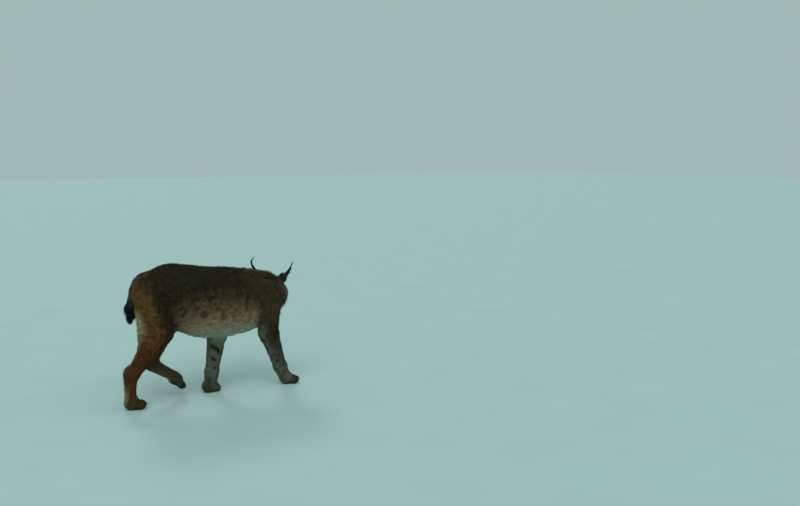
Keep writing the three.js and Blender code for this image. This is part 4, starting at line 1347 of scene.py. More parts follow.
def fur_build(scale, low, high, bump, detail=3.0, along=None):
    """Colour from the piece, broken up by noise."""
    def build(nodes, links, shader):
        strands = noise_node(nodes, links, scale, detail, along)
        painted(nodes, links, shader, strands, low, high)
        bumped(nodes, links, shader, strands, bump)
    return build


fur = node_material("guard_hair", 0.6, fur_build(2.6, 0.6, 1.45, 0.5, 1.0, "strand"),
                    sheen=0.04, specular=0.12)
under_fur = node_material("under_fur", 0.85, fur_build(700, 0.6, 1.2, 0.9), sheen=0.02, specular=0.08)
print("fur materials", fur.name, under_fur.name)

# %% The skin as one piece
SKIN_SHADE = 0.7
LEG_NODES = {
    "hind": ("thigh", "shank", "hind_foot", "hind_paw"), "fore": ("upper_foreleg", "forearm", "fore_paw"),
}
skin = make_piece("lynx_skin", skin_points, skin_faces, under_fur,
                  skin_colours * SKIN_SHADE, skin_uv.reshape(-1, 2))
FLESH = ["head", "neck", "torso", "tail", "tail_tip"]
for leg in LEGS.values():
    FLESH += [f"{leg['word']}_{node}" for node in LEG_NODES[leg["kind"]]]
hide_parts(*FLESH)
print("the skin stands for", len(FLESH), "nodes")

# %% [markdown]
# ## Tufts
# Fur hangs together in tufts. Blender's own hair curves would comb well, but this model has to leave
# Blender as meshes. So a tuft is a thin closed blade with a ridge, drawn out to a point.

# %% Blades
# how wide a blade is along its length, by its number of rings, against its widest
TAPER = {
    1: np.array([1.0]), 2: np.array([0.85, 0.8]), 3: np.array([0.75, 1.0, 0.62]),
    5: np.array([0.7, 1, 0.95, 0.75, 0.42]),
}
RIDGE = 0.7
PATCH = 0.003


def blade_faces(rings):
    """The triangles of one blade: three sides, a closed root and a point."""
    faces = [(0, 2, 1)]
    for r in range(rings - 1):
        for side in range(3):
            a, b = 3 * r + side, 3 * r + (side + 1) % 3
            faces += [(a, b, b + 3), (a, b + 3, a + 3)]
    last, tip = 3 * (rings - 1), 3 * rings
    faces += [(last + side, last + (side + 1) % 3, tip) for side in range(3)]
    return np.array(faces)


def blades(path, across, up, width, colours, uv):
    """Thin three-sided blades along paths.

    path is (n, rings + 1, 3) and ends in the tip; across and up are (n, rings, 3); width is
    (n, rings); colours is (n, rings + 1, 3); uv is the (n, 2) place of each root on the flat map.
    """
    n, rings = width.shape
    half = 0.5 * width[:, :, None]
    left = path[:, :rings] - across * half
    right = path[:, :rings] + across * half
    ridge = path[:, :rings] + up * half * RIDGE
    ring = np.stack([left, ridge, right], 2).reshape(n, rings * 3, 3)
    points = np.concatenate([ring, path[:, rings:]], 1)
    faces = blade_faces(rings)
    each = 3 * rings + 1
    every = (faces[None] + each * np.arange(n)[:, None, None]).reshape(-1, 3)
    tints = np.concatenate([np.repeat(colours[:, :rings], 3, 1), colours[:, rings:]], 1)
    sideways = np.array([-0.5, 0.0, 0.5] * rings + [0.0])
    down = np.append(np.repeat(np.arange(rings), 3), rings)
    local = np.stack([sideways * PATCH, (down / rings - 0.5) * PATCH], 1)
    corner_uv = (uv[:, None] + local[None])[:, faces].reshape(-1, 2)
    # the noise of the strands runs across and down each blade, and starts anew for the next
    strand = np.zeros((n, each, 3))
    strand[:, :, 0] = 2 * sideways
    strand[:, :, 1] = down * 0.25
    strand[:, :, 2] = (7.3 * np.arange(n) % 97)[:, None]
    return points.reshape(-1, 3), every, tints.reshape(-1, 3), corner_uv, strand.reshape(-1, 3)


def joined(groups):
    starts = np.cumsum([0] + [len(group[0]) for group in groups])
    faces = np.concatenate([group[1] + start for group, start in zip(groups, starts)])
    rest = [np.concatenate(rows) for rows in zip(*[(g[0], *g[2:]) for g in groups])]
    return (rest[0], faces, *rest[1:])


def fur_piece(name, groups):
    """Sets of blades as one piece of fur."""
    points, faces, tints, corner_uv, strand = joined(groups)
    return make_piece(name, points, faces, fur, tints, corner_uv, strand)


print("triangles in a blade, by its rings", {rings: len(blade_faces(rings)) for rings in TAPER})

# %% [markdown]
# ## How long and how many
# Guard hair is 4 cm long on the belly and a few millimetres on the nose. One number of tufts for all
# would clog the face or bare the flank. So each face of the skin gets as many as its area and its
# length of coat ask for.

# %% Length and number of tufts
LENGTH = dict(
    trunk=((0, 42), (0.3, 38), (0.7, 32), (1, 27)), neck=38,
    face=((-60, 34), (-25, 26), (5, 14), (40, 8), (70, 5.5), (100, 3.5)), cheek=((45, 0), (75, 12)),
    tail=24, legs=((0, 32), (0.3, 27), (0.55, 18), (0.75, 14), (0.9, 10), (1, 7)),
)
# how many blades lie over each place, by the coat's length: more where it is long
LAYERS = ((7, 1.45), (13, 1.9), (20, 3.2), (28, 5.35), (36, 6.4))
SLIM, THINNEST = 0.1, 0.4
corner_points = skin_points[skin_faces]
areas = 0.5 * np.linalg.norm(np.cross(corner_points[:, 2] - corner_points[:, 0],
                                      corner_points[:, 3] - corner_points[:, 1]), axis=1)
vertex_length = over_body(skin_points, skin_weights, **LENGTH)
vertex_depth = over_body(skin_points, skin_weights, **DEPTH)
face_length = vertex_length[skin_faces].mean(1)
face_width = np.clip(SLIM * face_length + THINNEST, 1.0, 4.2)
layers = ramp(face_length, *LAYERS)
wanted = layers * areas / (0.55 * face_width * face_length)
# lids, nose and soles are bare
on_head = skin_weights[HEAD_ROW, skin_faces].mean(1) > 0.5
mids_head = to_head(face_mids)
eye_gap = np.min([almond(mids_head, side)[0] for side in (-1, 1)], 0)
from_nose = np.linalg.norm((mids_head - np.array([97, 0, -6])) / np.array([9, 15, 10]), axis=1)
bare = on_head & ((eye_gap < 0.28) | (mids_head[:, 0] > 96) | (from_nose < 1))
bare |= face_mids[:, 2] < 5
for leg in LEGS.values():
    sole = (face_mids - leg["paw"][1]) @ leg["paw"][0]
    bare |= (sole[:, 2] < 5) & (np.abs(sole[:, 0]) < 70) & (np.abs(sole[:, 1]) < 60)
wanted[bare] = 0
root_faces = np.repeat(np.arange(len(skin_faces)), (wanted + rng.random(len(wanted))).astype(int))
print("skin area", round(areas.sum() / 1e6, 3), "m2;", len(root_faces), "tufts")

# %% [markdown]
# ## Growing the tufts
# A tuft leaves the skin at a slant, follows the lie, and ends at the coat's outline. Even blades would
# look like a brush. So neighbours share a lean and a lift from the noise, and gather into locks.

# %% Roots and paths
DARKEST, PALEST = 0.0008, 0.95
ROOT_SUNK = 0.8


def on_faces(faces, u, v, values):
    """Values of the corners carried to places u, v inside square faces."""
    corner = values[skin_faces[faces]]
    shape = (-1,) + (1,) * (corner.ndim - 2)
    u, v = u.reshape(shape), v.reshape(shape)
    near = corner[:, 0] * (1 - u) + corner[:, 1] * u
    far = corner[:, 3] * (1 - u) + corner[:, 2] * u
    return near * (1 - v) + far * v


def uneven(n, spread):
    """Small random changes, to either side of zero."""
    return spread * (rng.random(n) - 0.5)


def fullness(root, weights):
    """How far the tips stand out: fuller on neck and crown, and gently uneven along the back."""
    q = to_head(root)
    crown = ramp(q[:, 2], (20, 0), (44, 1)) * ramp(q[:, 0], (-10, 1), (14, 0)) * weights[HEAD_ROW]
    return 1 + 0.5 * weights[NECK_ROW] + 0.7 * crown


def tuft_path(points, normals, length, height, lean, curl, rings):
    """Places from root to tip, with the upright direction at each."""
    across = unit(np.cross(normals[0], unit(points[1] - points[0])))
    path, uprights = [], []
    for k in range(rings + 1):
        t = k / rings
        at = np.clip(t * length / STRIDE, 0, 2.6)[:, None]
        # a smooth curve through the three walked points
        centre = (points[0] * (at - 1) * (at - 2) / 2 - points[1] * at * (at - 2)
                  + points[2] * at * (at - 1) / 2)
        turned = unit(normals[0] * np.clip(1 - at, 0, 1) + normals[1] * np.clip(1 - np.abs(at - 1), 0, 1)
                      + normals[2] * np.clip(at - 1, 0, 1))
        lift = height * (1 - (1 - t) ** 1.7) - (ROOT_SUNK if k == 0 else 0)
        slide = length * t * (lean + curl * t)
        path.append(centre + turned * lift[:, None] + across * slide[:, None])
        uprights.append(turned)
    path = np.stack(path, 1)
    # no tuft goes through the floor
    path[:, :, 2] = np.maximum(path[:, :, 2], 0.8 + 0.4 * (rings - np.arange(rings + 1)))
    return path, np.stack([across] * rings, 1), np.stack(uprights[:rings], 1)


def tuft_colours(root, way, length, weights, rings):
    """The outer half of a tuft is what shows, so it takes the marking of the place it covers."""
    near = coat_colour(root + way * (0.35 * length)[:, None], weights)
    far = coat_colour(root + way * (0.8 * length)[:, None], weights)
    shade = 1 + 0.18 * clouds(root, 7, 75) + uneven(len(root), 0.36)
    frost = (rng.random(len(root)) < 0.12)[:, None] * 0.05 * ramp(length, (10, 0), (24, 1))[:, None]
    toward = np.linspace(0, 1, rings + 1)[None, :, None]
    along = 0.72 + 0.42 * toward
    colours = (near[:, None] * (1 - toward) + far[:, None] * toward) * along * shade[:, None, None]
    colours[:, -1] += frost * np.array([1, 0.95, 0.85])
    return np.clip(colours, DARKEST, PALEST)


def grown_tufts(faces, rings):
    """Tufts rooted on the given faces."""
    n = len(faces)
    u, v = rng.random(n), rng.random(n)
    points = [on_faces(faces, u, v, rows) for rows in path_points]
    normals = [unit(on_faces(faces, u, v, rows)) for rows in path_normals]
    root = points[0]
    length = on_faces(faces, u, v, vertex_length)
    length = length * (0.92 + 0.22 * clouds(root, 16, 71) + uneven(n, 0.3))
    lean = 0.24 * clouds(root, 22, 72) + 0.14 * clouds(root, 9, 73) + uneven(n, 0.2)
    weights = np.stack([on_faces(faces, u, v, row) for row in skin_weights])
    weights /= weights.sum(0)
    depth = on_faces(faces, u, v, vertex_depth) * fullness(root, weights)
    depth = depth * (1 + 0.22 * clouds(root, 95, 78))
    height = depth * (0.9 + 0.3 * clouds(root, 13, 74) + uneven(n, 0.35))
    path, sides, uprights = tuft_path(points, normals, length, height, lean, uneven(n, 0.12), rings)
    width = np.clip(SLIM * length + THINNEST, 1.0, 4.4) * (0.8 + 0.4 * rng.random(n))
    colours = tuft_colours(root, unit(points[1] - root), length, weights, rings)
    regions = weights.argmax(0)
    uv = np.zeros((n, 2))
    for region in np.unique(regions):
        own = regions == region
        uv[own] = flat_map(root[own], region)
    return blades(path, sides, uprights, width[:, None] * TAPER[rings], colours, uv)


print("roots are sunk", ROOT_SUNK, "mm into the skin")

# %% Coat pieces
LONG_TUFT, LONGEST_TUFT = 13.5, 28.5
HALFWAY = 330
root_regions = face_regions[root_faces]
root_mids = face_mids[root_faces]
on_trunk = (root_regions == TRUNK_ROW) | (root_regions == TAIL_ROW)
rear = root_mids[:, 0] < HALFWAY
left_side = root_mids[:, 1] > 0
coat_zones = {
    "coat_trunk_rear_left": (on_trunk & rear & left_side, "back_coat"),
    "coat_trunk_rear_right": (on_trunk & rear & ~left_side, "back_coat"),
    "coat_trunk_front_left": (on_trunk & ~rear & left_side, "back_coat"),
    "coat_trunk_front_right": (on_trunk & ~rear & ~left_side, "back_coat"),
    "coat_neck": (root_regions == NECK_ROW, "back_coat"),
    "coat_head": (root_regions == HEAD_ROW, "head_coat"),
}
for row, (name, leg) in enumerate(LEGS.items(), FIRST_LEG):
    # knee or elbow parts the upper leg from the lower
    above = root_mids[:, 2] > leg["joints"][1][2]
    own = root_regions == row
    upper = "thigh" if leg["kind"] == "hind" else "shoulder"
    coat_zones[f"coat_{leg['word']}_{upper}"] = (own & above, "leg_coat")
    coat_zones[f"coat_{name}_leg"] = (own & ~above, "leg_coat")
coat_total = 0
for name, (own, slot) in coat_zones.items():
    chosen = root_faces[own]
    rings = 1 + (face_length[chosen] > LONG_TUFT) + (face_length[chosen] > LONGEST_TUFT)
    groups = [grown_tufts(chosen[rings == r], r) for r in (1, 2, 3) if (rings == r).any()]
    coat_total += len(fur_piece(name, groups).data.polygons)
print("coat", coat_total, "triangles so far")

# %% [markdown]
# ## Free locks
# The ruff, the hair of the ears and the tail's brush are long. The walked places would hold them down
# on the skin. So each of these locks leaves its root one way and then falls another way.

# %% Free locks


def free_locks(root, lie, fall, up, length, width, colour, uv, rings, tips=None):
    """Blades that leave along lie and turn to fall. colour is (n, 3); tips is the colour they end in."""
    n = len(root)
    at, path, sides, uprights = root.copy(), [root.copy()], [], []
    for k in range(rings):
        t = k / rings
        way = unit(lie * (1 - t) + fall * t)
        across = unit(np.cross(way, up))
        sides.append(across)
        uprights.append(np.cross(across, way))
        at = at + way * (length / rings)[:, None]
        path.append(at.copy())
    widths = width[:, None] * TAPER[rings]
    along = np.linspace(0.7, 1.12, rings + 1)
    colours = colour[:, None] * along[None, :, None] * np.ones((n, 1, 1))
    if tips is not None:
        t = np.linspace(0, 1, rings + 1)[None, :, None] ** 2
        colours = colours * (1 - t) + tips[:, None] * t
    return blades(np.stack(path, 1), np.stack(sides, 1), np.stack(uprights, 1), widths,
                  np.clip(colours, DARKEST, PALEST), uv)


x, y, z, dark = np.eye(4, 3)[:, None]
lock = free_locks(dark, x, -z, y, np.array([30.0]), np.ones(1), dark, dark[:, :2], 3)
print("a lock that turns from level to straight down ends at", lock[0][-1].round(1))

# %% [markdown]
# ## Ears
# A lynx's ear is a cupped leaf, black behind with a grey patch and pale inside. A bent sheet would be
# simpler, but would look like paper at its edge. So the ear is lofted in rings, as one closed shell.

# %% Shape of an ear
EAR_HEIGHT, EAR_HALF, EAR_SUNK = 78, 30, 10
EAR_INSET = 1.6
EAR_THICK, TIP_THICK = 7, 3.2
EAR_LEAN = {-1: 34, 1: 41}
EAR_TURN = {side: turn("Y", -6) @ turn("X", -side * lean) @ turn("Z", side * 34)
            for side, lean in EAR_LEAN.items()}
SIDES = ((-1, "right"), (1, "left"))


def ear_to_body(side, q):
    """From the ear's own frame, with z to its tip and x out of its cup."""
    return from_head(np.asarray(q, float) @ EAR_TURN[side].T + np.array([-22, side * 55, 48]))


def ear_leaf(u, v, back):
    """Points of the ear in its own frame. u runs across from -1 to 1 and v from root to tip."""
    half = EAR_HALF * np.maximum(1 - v, 0.02) ** 1.05 * (0.8 + 0.2 * np.minimum(v * 4, 1)) - EAR_INSET
    half = np.maximum(half, 1.2)
    bow = 15 * (1 - 0.6 * v) * (half / EAR_HALF)
    arch = np.sqrt(np.maximum(1 - u * u, 0))
    thick = (EAR_THICK + (TIP_THICK - EAR_THICK) * v) * np.minimum(half / 12, 1)
    x = np.where(back, -bow * arch - thick * (0.2 + 0.8 * arch), -bow * arch + thick * 0.4)
    return np.stack([x, u * half, v * EAR_HEIGHT - EAR_SUNK], -1)


def ear_map(u, v, back):
    """Place on the ear's flat map, the front face beside the back face."""
    return np.stack([0.25 + 0.24 * u + 0.5 * back, 0.02 + 0.96 * v], 1)


def ear_colour(u, v, back):
    """Black behind with a grey patch, pale inside, and black at the tip."""
    black = mixed(plain(BLACK, u), tone(40, 46, 46), ramp(v, (0.1, 0.5), (0.3, 0)))
    patch = ramp(np.hypot(u / 0.6, (v - 0.42) / 0.16), (0.7, 0.5), (1.15, 0))
    outside = mixed(black, tone(78, 80, 76), patch)
    rosy = ramp(np.abs(u), (0, 0.8), (0.6, 0))
    inside = mixed(plain(tone(150, 138, 120), u), tone(112, 86, 72), rosy)
    inside = mixed(inside, BLACK, ramp(v, (0.72, 0), (0.86, 1)))
    return np.where(back[:, None], outside, inside)


for side, word in SIDES:
    print("tip of the", word, "ear", to_frame(ear_to_body(side, [0, 0, EAR_HEIGHT - EAR_SUNK])).round(3))

# %% Ear shells
EAR_ROWS, EAR_AROUND = 26, 40


def ear_shell():
    """Points, faces, colours and flat map of an ear. The first half of each ring is the front face."""
    v = np.repeat(np.linspace(0, 1, EAR_ROWS), EAR_AROUND)
    n = np.tile(np.arange(EAR_AROUND), EAR_ROWS)
    half = EAR_AROUND // 2
    back = n >= half
    u = np.where(back, np.cos((n - half) / half * math.pi), -np.cos(n / half * math.pi))
    points = ear_leaf(u, v, back)
    a = np.arange((EAR_ROWS - 1) * EAR_AROUND)
    b = a // EAR_AROUND * EAR_AROUND + (a + 1) % EAR_AROUND
    faces = np.stack([a, b, b + EAR_AROUND, a + EAR_AROUND], 1)
    for row, flip in ((0, True), (EAR_ROWS - 1, False)):
        start = row * EAR_AROUND
        i = np.arange(half - 1)
        ring = np.stack([start + i, start + i + 1, start + EAR_AROUND - i - 2,
                         start + EAR_AROUND - i - 1], 1)
        ring[0, 3] = start + EAR_AROUND - 1
        faces = np.concatenate([faces, ring[:, ::-1] if flip else ring])
    return points, faces, ear_colour(u, v, back), ear_map(u, v, back)[faces].reshape(-1, 2)


points, faces, tints, corner_uv = ear_shell()
for side, word in SIDES:
    ear = make_piece(f"{word}_ear_shell", ear_to_body(side, points), faces, under_fur,
                     tints, corner_uv)
    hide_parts(f"{word}_ear")

# %% [markdown]
# ## Hair of the ears
# The back of the ear is velvet, long pale hairs guard the cup, and a black tuft stands at the tip. The
# tufts of the coat follow the body. Free locks suit the ear: short ones on each face, long ones across
# the cup, and a bundle that draws together to a point.

# %% Fur of an ear's faces


def sheet_fur(side, n, back, low, high, length, lift, width):
    """Short fur on one face of the ear, lying towards the tip."""
    u, v = rng.uniform(-0.97, 0.97, n), rng.uniform(low, high, n)
    face = np.full(n, back)
    root = ear_leaf(u, v, face)
    along = unit(ear_leaf(u, np.minimum(v + 0.03, 1), face) - ear_leaf(u, v - 0.03, face))
    cross = ear_leaf(np.clip(u + 0.03, -1, 1), v, face) - ear_leaf(np.clip(u - 0.03, -1, 1), v, face)
    normal = unit(np.cross(cross, along)) * (-1 if back else 1)
    root, normal = ear_to_body(side, root), unit(normal @ EAR_TURN[side].T @ HEAD_TURN.T)
    along = unit(along @ EAR_TURN[side].T @ HEAD_TURN.T)
    # turned normals point away from the leaf
    centre = ear_to_body(side, np.stack([-6 * np.ones(n), 0 * u, v * EAR_HEIGHT - EAR_SUNK], 1))
    flip = ((root - centre) * normal).sum(1) < 0
    normal[flip & back] *= -1
    fan = u * 0.3 + 0.2 * clouds(root, 9, 81) + 0.15 * (rng.random(n) - 0.5)
    lie = unit(along + normal * lift + np.cross(normal, along) * fan[:, None])
    fall = unit(along - normal * 0.1 + np.cross(normal, along) * fan[:, None])
    lengths = length * (0.8 + 0.4 * rng.random(n))
    tint = ear_colour(u, v, face) * (0.8 + 0.4 * rng.random(n))[:, None]
    return free_locks(root - normal * 0.6, lie, fall, normal, lengths, np.full(n, width), tint,
                      ear_map(u, v, back), 2)


def cup_hairs(side, n):
    """Long pale hairs that cross the cup from its front rim."""
    u, v = rng.choice([-1, 1], n) * rng.uniform(0.72, 0.98, n), rng.uniform(0.02, 0.72, n)
    root = ear_to_body(side, ear_leaf(u, v, np.zeros(n, bool)))
    inward = np.stack([0.9 + 0 * u, -np.sign(u) * 0.9, 0.5 + rng.uniform(-0.2, 0.5, n)], 1)
    upward = np.stack([0.35 + 0 * u, -np.sign(u) * 0.3, 1.0 + 0 * u], 1)
    outward = np.tile([1, 0, 0.2], (n, 1))
    into = EAR_TURN[side].T @ HEAD_TURN.T
    tint = tone(186, 182, 168) * rng.uniform(0.7, 1.1, n)[:, None]
    return free_locks(root, unit(inward @ into), unit(upward @ into), unit(outward @ into),
                      rng.uniform(16, 30, n), np.full(n, 1.2), tint, ear_map(u, v, 0), 3)


CUP_HAIRS = 260
print("hairs across each cup", CUP_HAIRS)

# %% Tufts of the ears' tips
# the camera's way over the floor, and what lies to its right
LOOK = np.array([0.578, 0.816])
SCREEN_RIGHT = np.array([LOOK[1], -LOOK[0], 0])
# how far a tuft ends to the right and up, how far it bows along its ear, and how sharply it turns up
TUFT_SHAPE = {-1: (14, 38, 16, 1.3), 1: (19, 53, 75, 2.5)}
TIP_HEIGHT, TIP_BACK = 68, -4


def tip_tuft(side, n):
    """The tuft at the tip. It sweeps out along its ear, then turns up and draws to a point."""
    spread = rng.uniform(-1, 1, n)
    height = rng.uniform(42, 67, n)
    root = np.stack([TIP_BACK + rng.uniform(-1.5, 1.5, n), spread * (70 - height) * 0.3, height], 1)
    root = ear_to_body(side, root)
    top = ear_to_body(side, [[TIP_BACK, 0, TIP_HEIGHT]])[0]
    rise = unit(top - ear_to_body(side, [[TIP_BACK, 0, 50]])[0])
    right, up, bow, power = TUFT_SHAPE[side]
    end = SCREEN_RIGHT * right + np.array([0, 0, up])
    t = np.linspace(0, 1, 6)[None, :, None]
    far = t * rng.uniform(0.68, 1.0, n)[:, None, None]
    axis = top + rise * bow * far * (1 - far) + end * far**power
    stray = rng.normal(0, 1, (n, 3))[:, None] * (0.4 + 1.3 * t) * 0.8
    path = (root - top)[:, None] * (1 - t) ** 1.5 + axis + stray * t
    path[:, 0] = root
    across = np.tile(np.cross(rise, [0.2, 0.9, 0.3]), (n, 5, 1))
    above = np.tile(unit(np.cross(across[0, 0], rise)), (n, 5, 1))
    widths = rng.uniform(1.2, 2.0, n)[:, None] * TAPER[5]
    tint = np.repeat((BLACK * rng.uniform(0.7, 1.4, n)[:, None])[:, None], 6, 1)
    tip_uv = np.stack([0.25 + 0.1 * spread, 0.9 + 0 * spread], 1)
    return blades(path, unit(across), above, widths, tint, tip_uv)


for side, word in SIDES:
    n = 2600
    fur_piece(f"{word}_ear_fur", [
        sheet_fur(side, n, True, 0.02, 0.97, 11, 0.35, 1.5),
        sheet_fur(side, n // 3, False, 0.05, 0.9, 9, 0.3, 1.2),
        sheet_fur(side, n // 5, True, 0.0, 0.3, 24, 0.5, 2.2),
        cup_hairs(side, CUP_HAIRS), tip_tuft(side, 170),
    ])

# %% [markdown]
# ## The ruff
# From under each ear the cheek hair hangs to beside the chin. A solid beard would show no parting
# between the locks. Here each lock starts back along the head and then falls, pale with dark bars.

# %% Ruff


def ruff_roots(side, n):
    """Places on the cheek's skin, spread by angle round the head and distance back."""
    angle = np.radians(rng.uniform(-16, 84, n))
    back = rng.uniform(-52, 16, n)
    out = np.stack([0 * angle, side * np.cos(angle), -np.sin(angle)], 1)
    inner = np.stack([back, out[:, 1] * 0 + side * 18, -22 + 0 * angle], 1)
    near, far = np.zeros(n), np.full(n, 160.0)
    for _ in range(16):
        half = (near + far) / 2
        inside = under_coat(from_head(inner + out * half[:, None]))[0] < 0
        near, far = np.where(inside, half, near), np.where(inside, far, half)
    return inner + out * (near - 1.5)[:, None], out, angle, back


def ruff_side(side, n):
    """The locks of one cheek, barred with dark."""
    root, out, angle, back = ruff_roots(side, n)
    clump = 0.3 * clouds(root + 500, 12, 91)[:, None] * np.array([1.0, 0.6, 0.3])
    stray = rng.normal(0, 0.1, (n, 3)) + clump
    lie = out * 0.5 + np.stack([-0.8 + 0 * angle, 0 * angle, -0.3 * np.cos(angle)], 1) + stray
    fall = np.stack([-0.5 + 0 * angle, side * 0.1 * np.cos(angle), -1 + 0 * angle], 1) + stray * 1.3
    longest = np.exp(-(((np.degrees(angle) - 52) / 26) ** 2))
    length = 62 * (0.7 + 0.75 * longest) * rng.uniform(0.7, 1.08, n) * ramp(back, (-50, 1), (16, 0.65))
    place = from_head(root)
    grey = mixed(plain(tone(108, 100, 80), root), tone(178, 174, 158), 0.4 + 0.8 * clouds(root, 9, 92))
    wave = np.degrees(angle) * 2 * math.pi / 46 + 0.06 * back + 1.2 + 0.8 * clouds(root, 20, 93)
    tint = mixed(grey, SPOT, (np.sin(wave) > 0.42) * 0.85)
    tint = mixed(tint, tone(78, 68, 46), ramp(back + 0.3 * np.degrees(angle), (-42, 0.85), (-12, 0.1)))
    tips = mixed(tint, BLACK, ramp(np.degrees(angle), (45, 0), (62, 0.8), (80, 0.3)))
    ways = [unit(way @ HEAD_TURN.T) for way in (lie, fall, out)]
    return free_locks(place, *ways, length * HEAD_SCALE, rng.uniform(1.6, 3.0, n), tint,
                      flat_map(place, HEAD_ROW), 3, tips)


RUFF_LOCKS = 2400
fur_piece("cheek_ruff", [ruff_side(side, RUFF_LOCKS) for side in (-1, 1)])

# %% [markdown]
# ## The tail's brush
# The short tail ends in a black brush. Locks that all hang straight would end it as if cut off. So
# they splay from its last length, and every lock aims at one point below it.

# %% Brush
LONGEST_LOCK = 54
n = 2000
along = rng.uniform(-0.15, 1.0, n)
angle = rng.uniform(0, 2 * math.pi, n)
top_at, low_at = np.array(TAIL[2][0], float), np.array(TAIL[3][0], float)
centre = top_at + (low_at - top_at) * along[:, None]
out = np.stack([np.cos(angle), np.sin(angle), 0 * angle], 1)
root = centre + out * (25 + (15 - 25) * along - 9)[:, None]
stray = rng.normal(0, 0.09, (n, 3)) + 0.22 * clouds(root, 14, 95)[:, None] * np.stack(
    [np.sin(angle), -np.cos(angle), 0 * angle], 1)
tip_at = low_at + np.array([-9.0, 0, -50])
aim = tip_at - root
far_off = np.linalg.norm(aim, axis=1)
fall = unit(aim) + out * (0.25 * (1 - along))[:, None] + stray * 0.5
lie = out * (0.75 * (1 - along**2))[:, None] + unit(aim) + stray
length = np.minimum(LONGEST_LOCK, far_off) * rng.uniform(0.6, 1.08, n)
tint = BLACK * rng.uniform(0.6, 1.5, n)[:, None]
tint = mixed(tint, tone(52, 42, 32), ramp(along, (-0.15, 0.8), (0.0, 0)))
brush = free_locks(root, unit(lie), unit(fall), out, length, rng.uniform(2.2, 4.2, n), tint,
                   flat_map(root, TAIL_ROW), 3)
fur_piece("tail_brush", [brush])
print("brush", n, "locks")

# %% [markdown]
# ## Eyes
# Glass eyes are painted spheres with a clear dome. An image on a plain sphere would blur near by. Here
# rings of points circle the gaze, so the round pupil and the amber iris with its rays are sharp.

# %% Eyes
EYE_RINGS, EYE_AROUND, DOME = 26, 72, 0.07


def ring_ball(centre, radius, turned, rings, around, bulge):
    """A ball whose rings circle the gaze, closed at both poles."""
    polar = np.concatenate([np.linspace(0, 0.8, rings), np.linspace(0.8, math.pi, 14)[1:]])
    theta = np.repeat(polar[1:-1], around)
    phi = np.tile(np.linspace(0, 2 * math.pi, around, endpoint=False), len(polar) - 2)
    reach = radius * (1 + bulge * np.exp(-((theta / 0.5) ** 2)))
    local = np.stack([np.cos(theta), np.sin(theta) * np.cos(phi), np.sin(theta) * np.sin(phi)], 1)
    local *= reach[:, None]
    poles = np.array([[radius * (1 + bulge), 0, 0], [-radius, 0, 0]])
    local = np.concatenate([local, poles])
    rows = len(polar) - 2
    i = np.arange((rows - 1) * around)
    j = i // around * around + (i + 1) % around
    quads = np.stack([i, i + around, j + around, j], 1)
    k = np.arange(around)
    front, rear = rows * around, rows * around + 1
    last = (rows - 1) * around
    caps = np.concatenate([np.stack([0 * k + front, k, (k + 1) % around], 1),
                           np.stack([0 * k + rear, last + (k + 1) % around, last + k], 1)])
    faces = np.concatenate([quads[:, [0, 1, 2]], quads[:, [0, 2, 3]], caps])
    theta = np.concatenate([theta, [0, math.pi]])
    phi = np.concatenate([phi, [0, 0]])
    return local @ turned.T + centre, faces, theta, phi


def glass_build(nodes, links, shader):
    """The eye's own colours, almost even."""
    painted(nodes, links, shader, noise_node(nodes, links, 900), 0.9, 1.1)


eye_glass = node_material("eye_glass", 0.35, glass_build, coat=0.12, specular=0.03)
for side, word in SIDES:
    points, faces, theta, phi = ring_ball(EYE_AT[side], EYE_RADIUS, gaze_turn(side),
                                          EYE_RINGS, EYE_AROUND, DOME)
    rays = clouds(np.stack([np.cos(phi) * 9, np.sin(phi) * 9, theta * 3], 1), 1, 101)
    iris = shades(theta, (0.3, tone(206, 166, 76)), (0.46, tone(178, 134, 54)), (0.66, tone(104, 70, 26)))
    iris = mixed(iris, tone(100, 68, 26), 0.3 + 0.5 * rays)
    tint = mixed(iris, BLACK * 0.2, ramp(theta, (0.3, 1), (0.33, 0)))
    tint = mixed(tint, tone(18, 12, 9), ramp(theta, (0.68, 0), (0.74, 1)))
    uv = np.stack([0.5 + theta / 7 * np.cos(phi), 0.5 + theta / 7 * np.sin(phi)], 1)
    eye = make_piece(f"{word}_glass_eye", from_head(points), faces, eye_glass, tint,
                     uv[faces].reshape(-1, 2))
    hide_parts(f"{word}_eye")

# %% [markdown]
# ## Lids and lips
# Bare dark skin rims the eyes and lips. A painted line would have no thickness, and a bevelled curve
# has no flat map of its own. So a tube of changing thickness, made from arrays, follows each rim.

# %% Tubes and bare skin


def tube(path, radii, around, closed=False):
    """A tube through points, with its own radius at each."""
    path, radii = np.asarray(path, float), np.asarray(radii, float)
    n = len(path)
    ahead = np.roll(path, -1, 0) - np.roll(path, 1, 0)
    if not closed:
        ahead[0], ahead[-1] = path[1] - path[0], path[-1] - path[-2]
    ahead = unit(ahead)
    up = np.array([0.31, 0.17, 0.93])
    side = unit(np.cross(ahead, up))
    over = np.cross(side, ahead)
    phi = np.linspace(0, 2 * math.pi, around, endpoint=False)
    circle = side[:, None] * np.cos(phi)[None, :, None] + over[:, None] * np.sin(phi)[None, :, None]
    points = (path[:, None] + radii[:, None, None] * circle).reshape(-1, 3)
    rows = n if closed else n - 1
    i = np.arange(rows * around)
    j = i // around * around + (i + 1) % around
    quads = np.stack([i, j, (j + around) % (n * around), (i + around) % (n * around)], 1)
    faces = np.concatenate([quads[:, [0, 1, 2]], quads[:, [0, 2, 3]]])
    if not closed:
        k = np.arange(1, around - 1)
        last = (n - 1) * around
        faces = np.concatenate([faces, np.stack([0 * k, k + 1, k], 1),
                                np.stack([0 * k + last, last + k, last + k + 1], 1)])
    uv = np.stack([np.tile(phi / 7 + 0.02, n), np.repeat(np.linspace(0.02, 0.98, n), around)], 1)
    return points, faces, np.zeros_like(points), uv[faces].reshape(-1, 2)


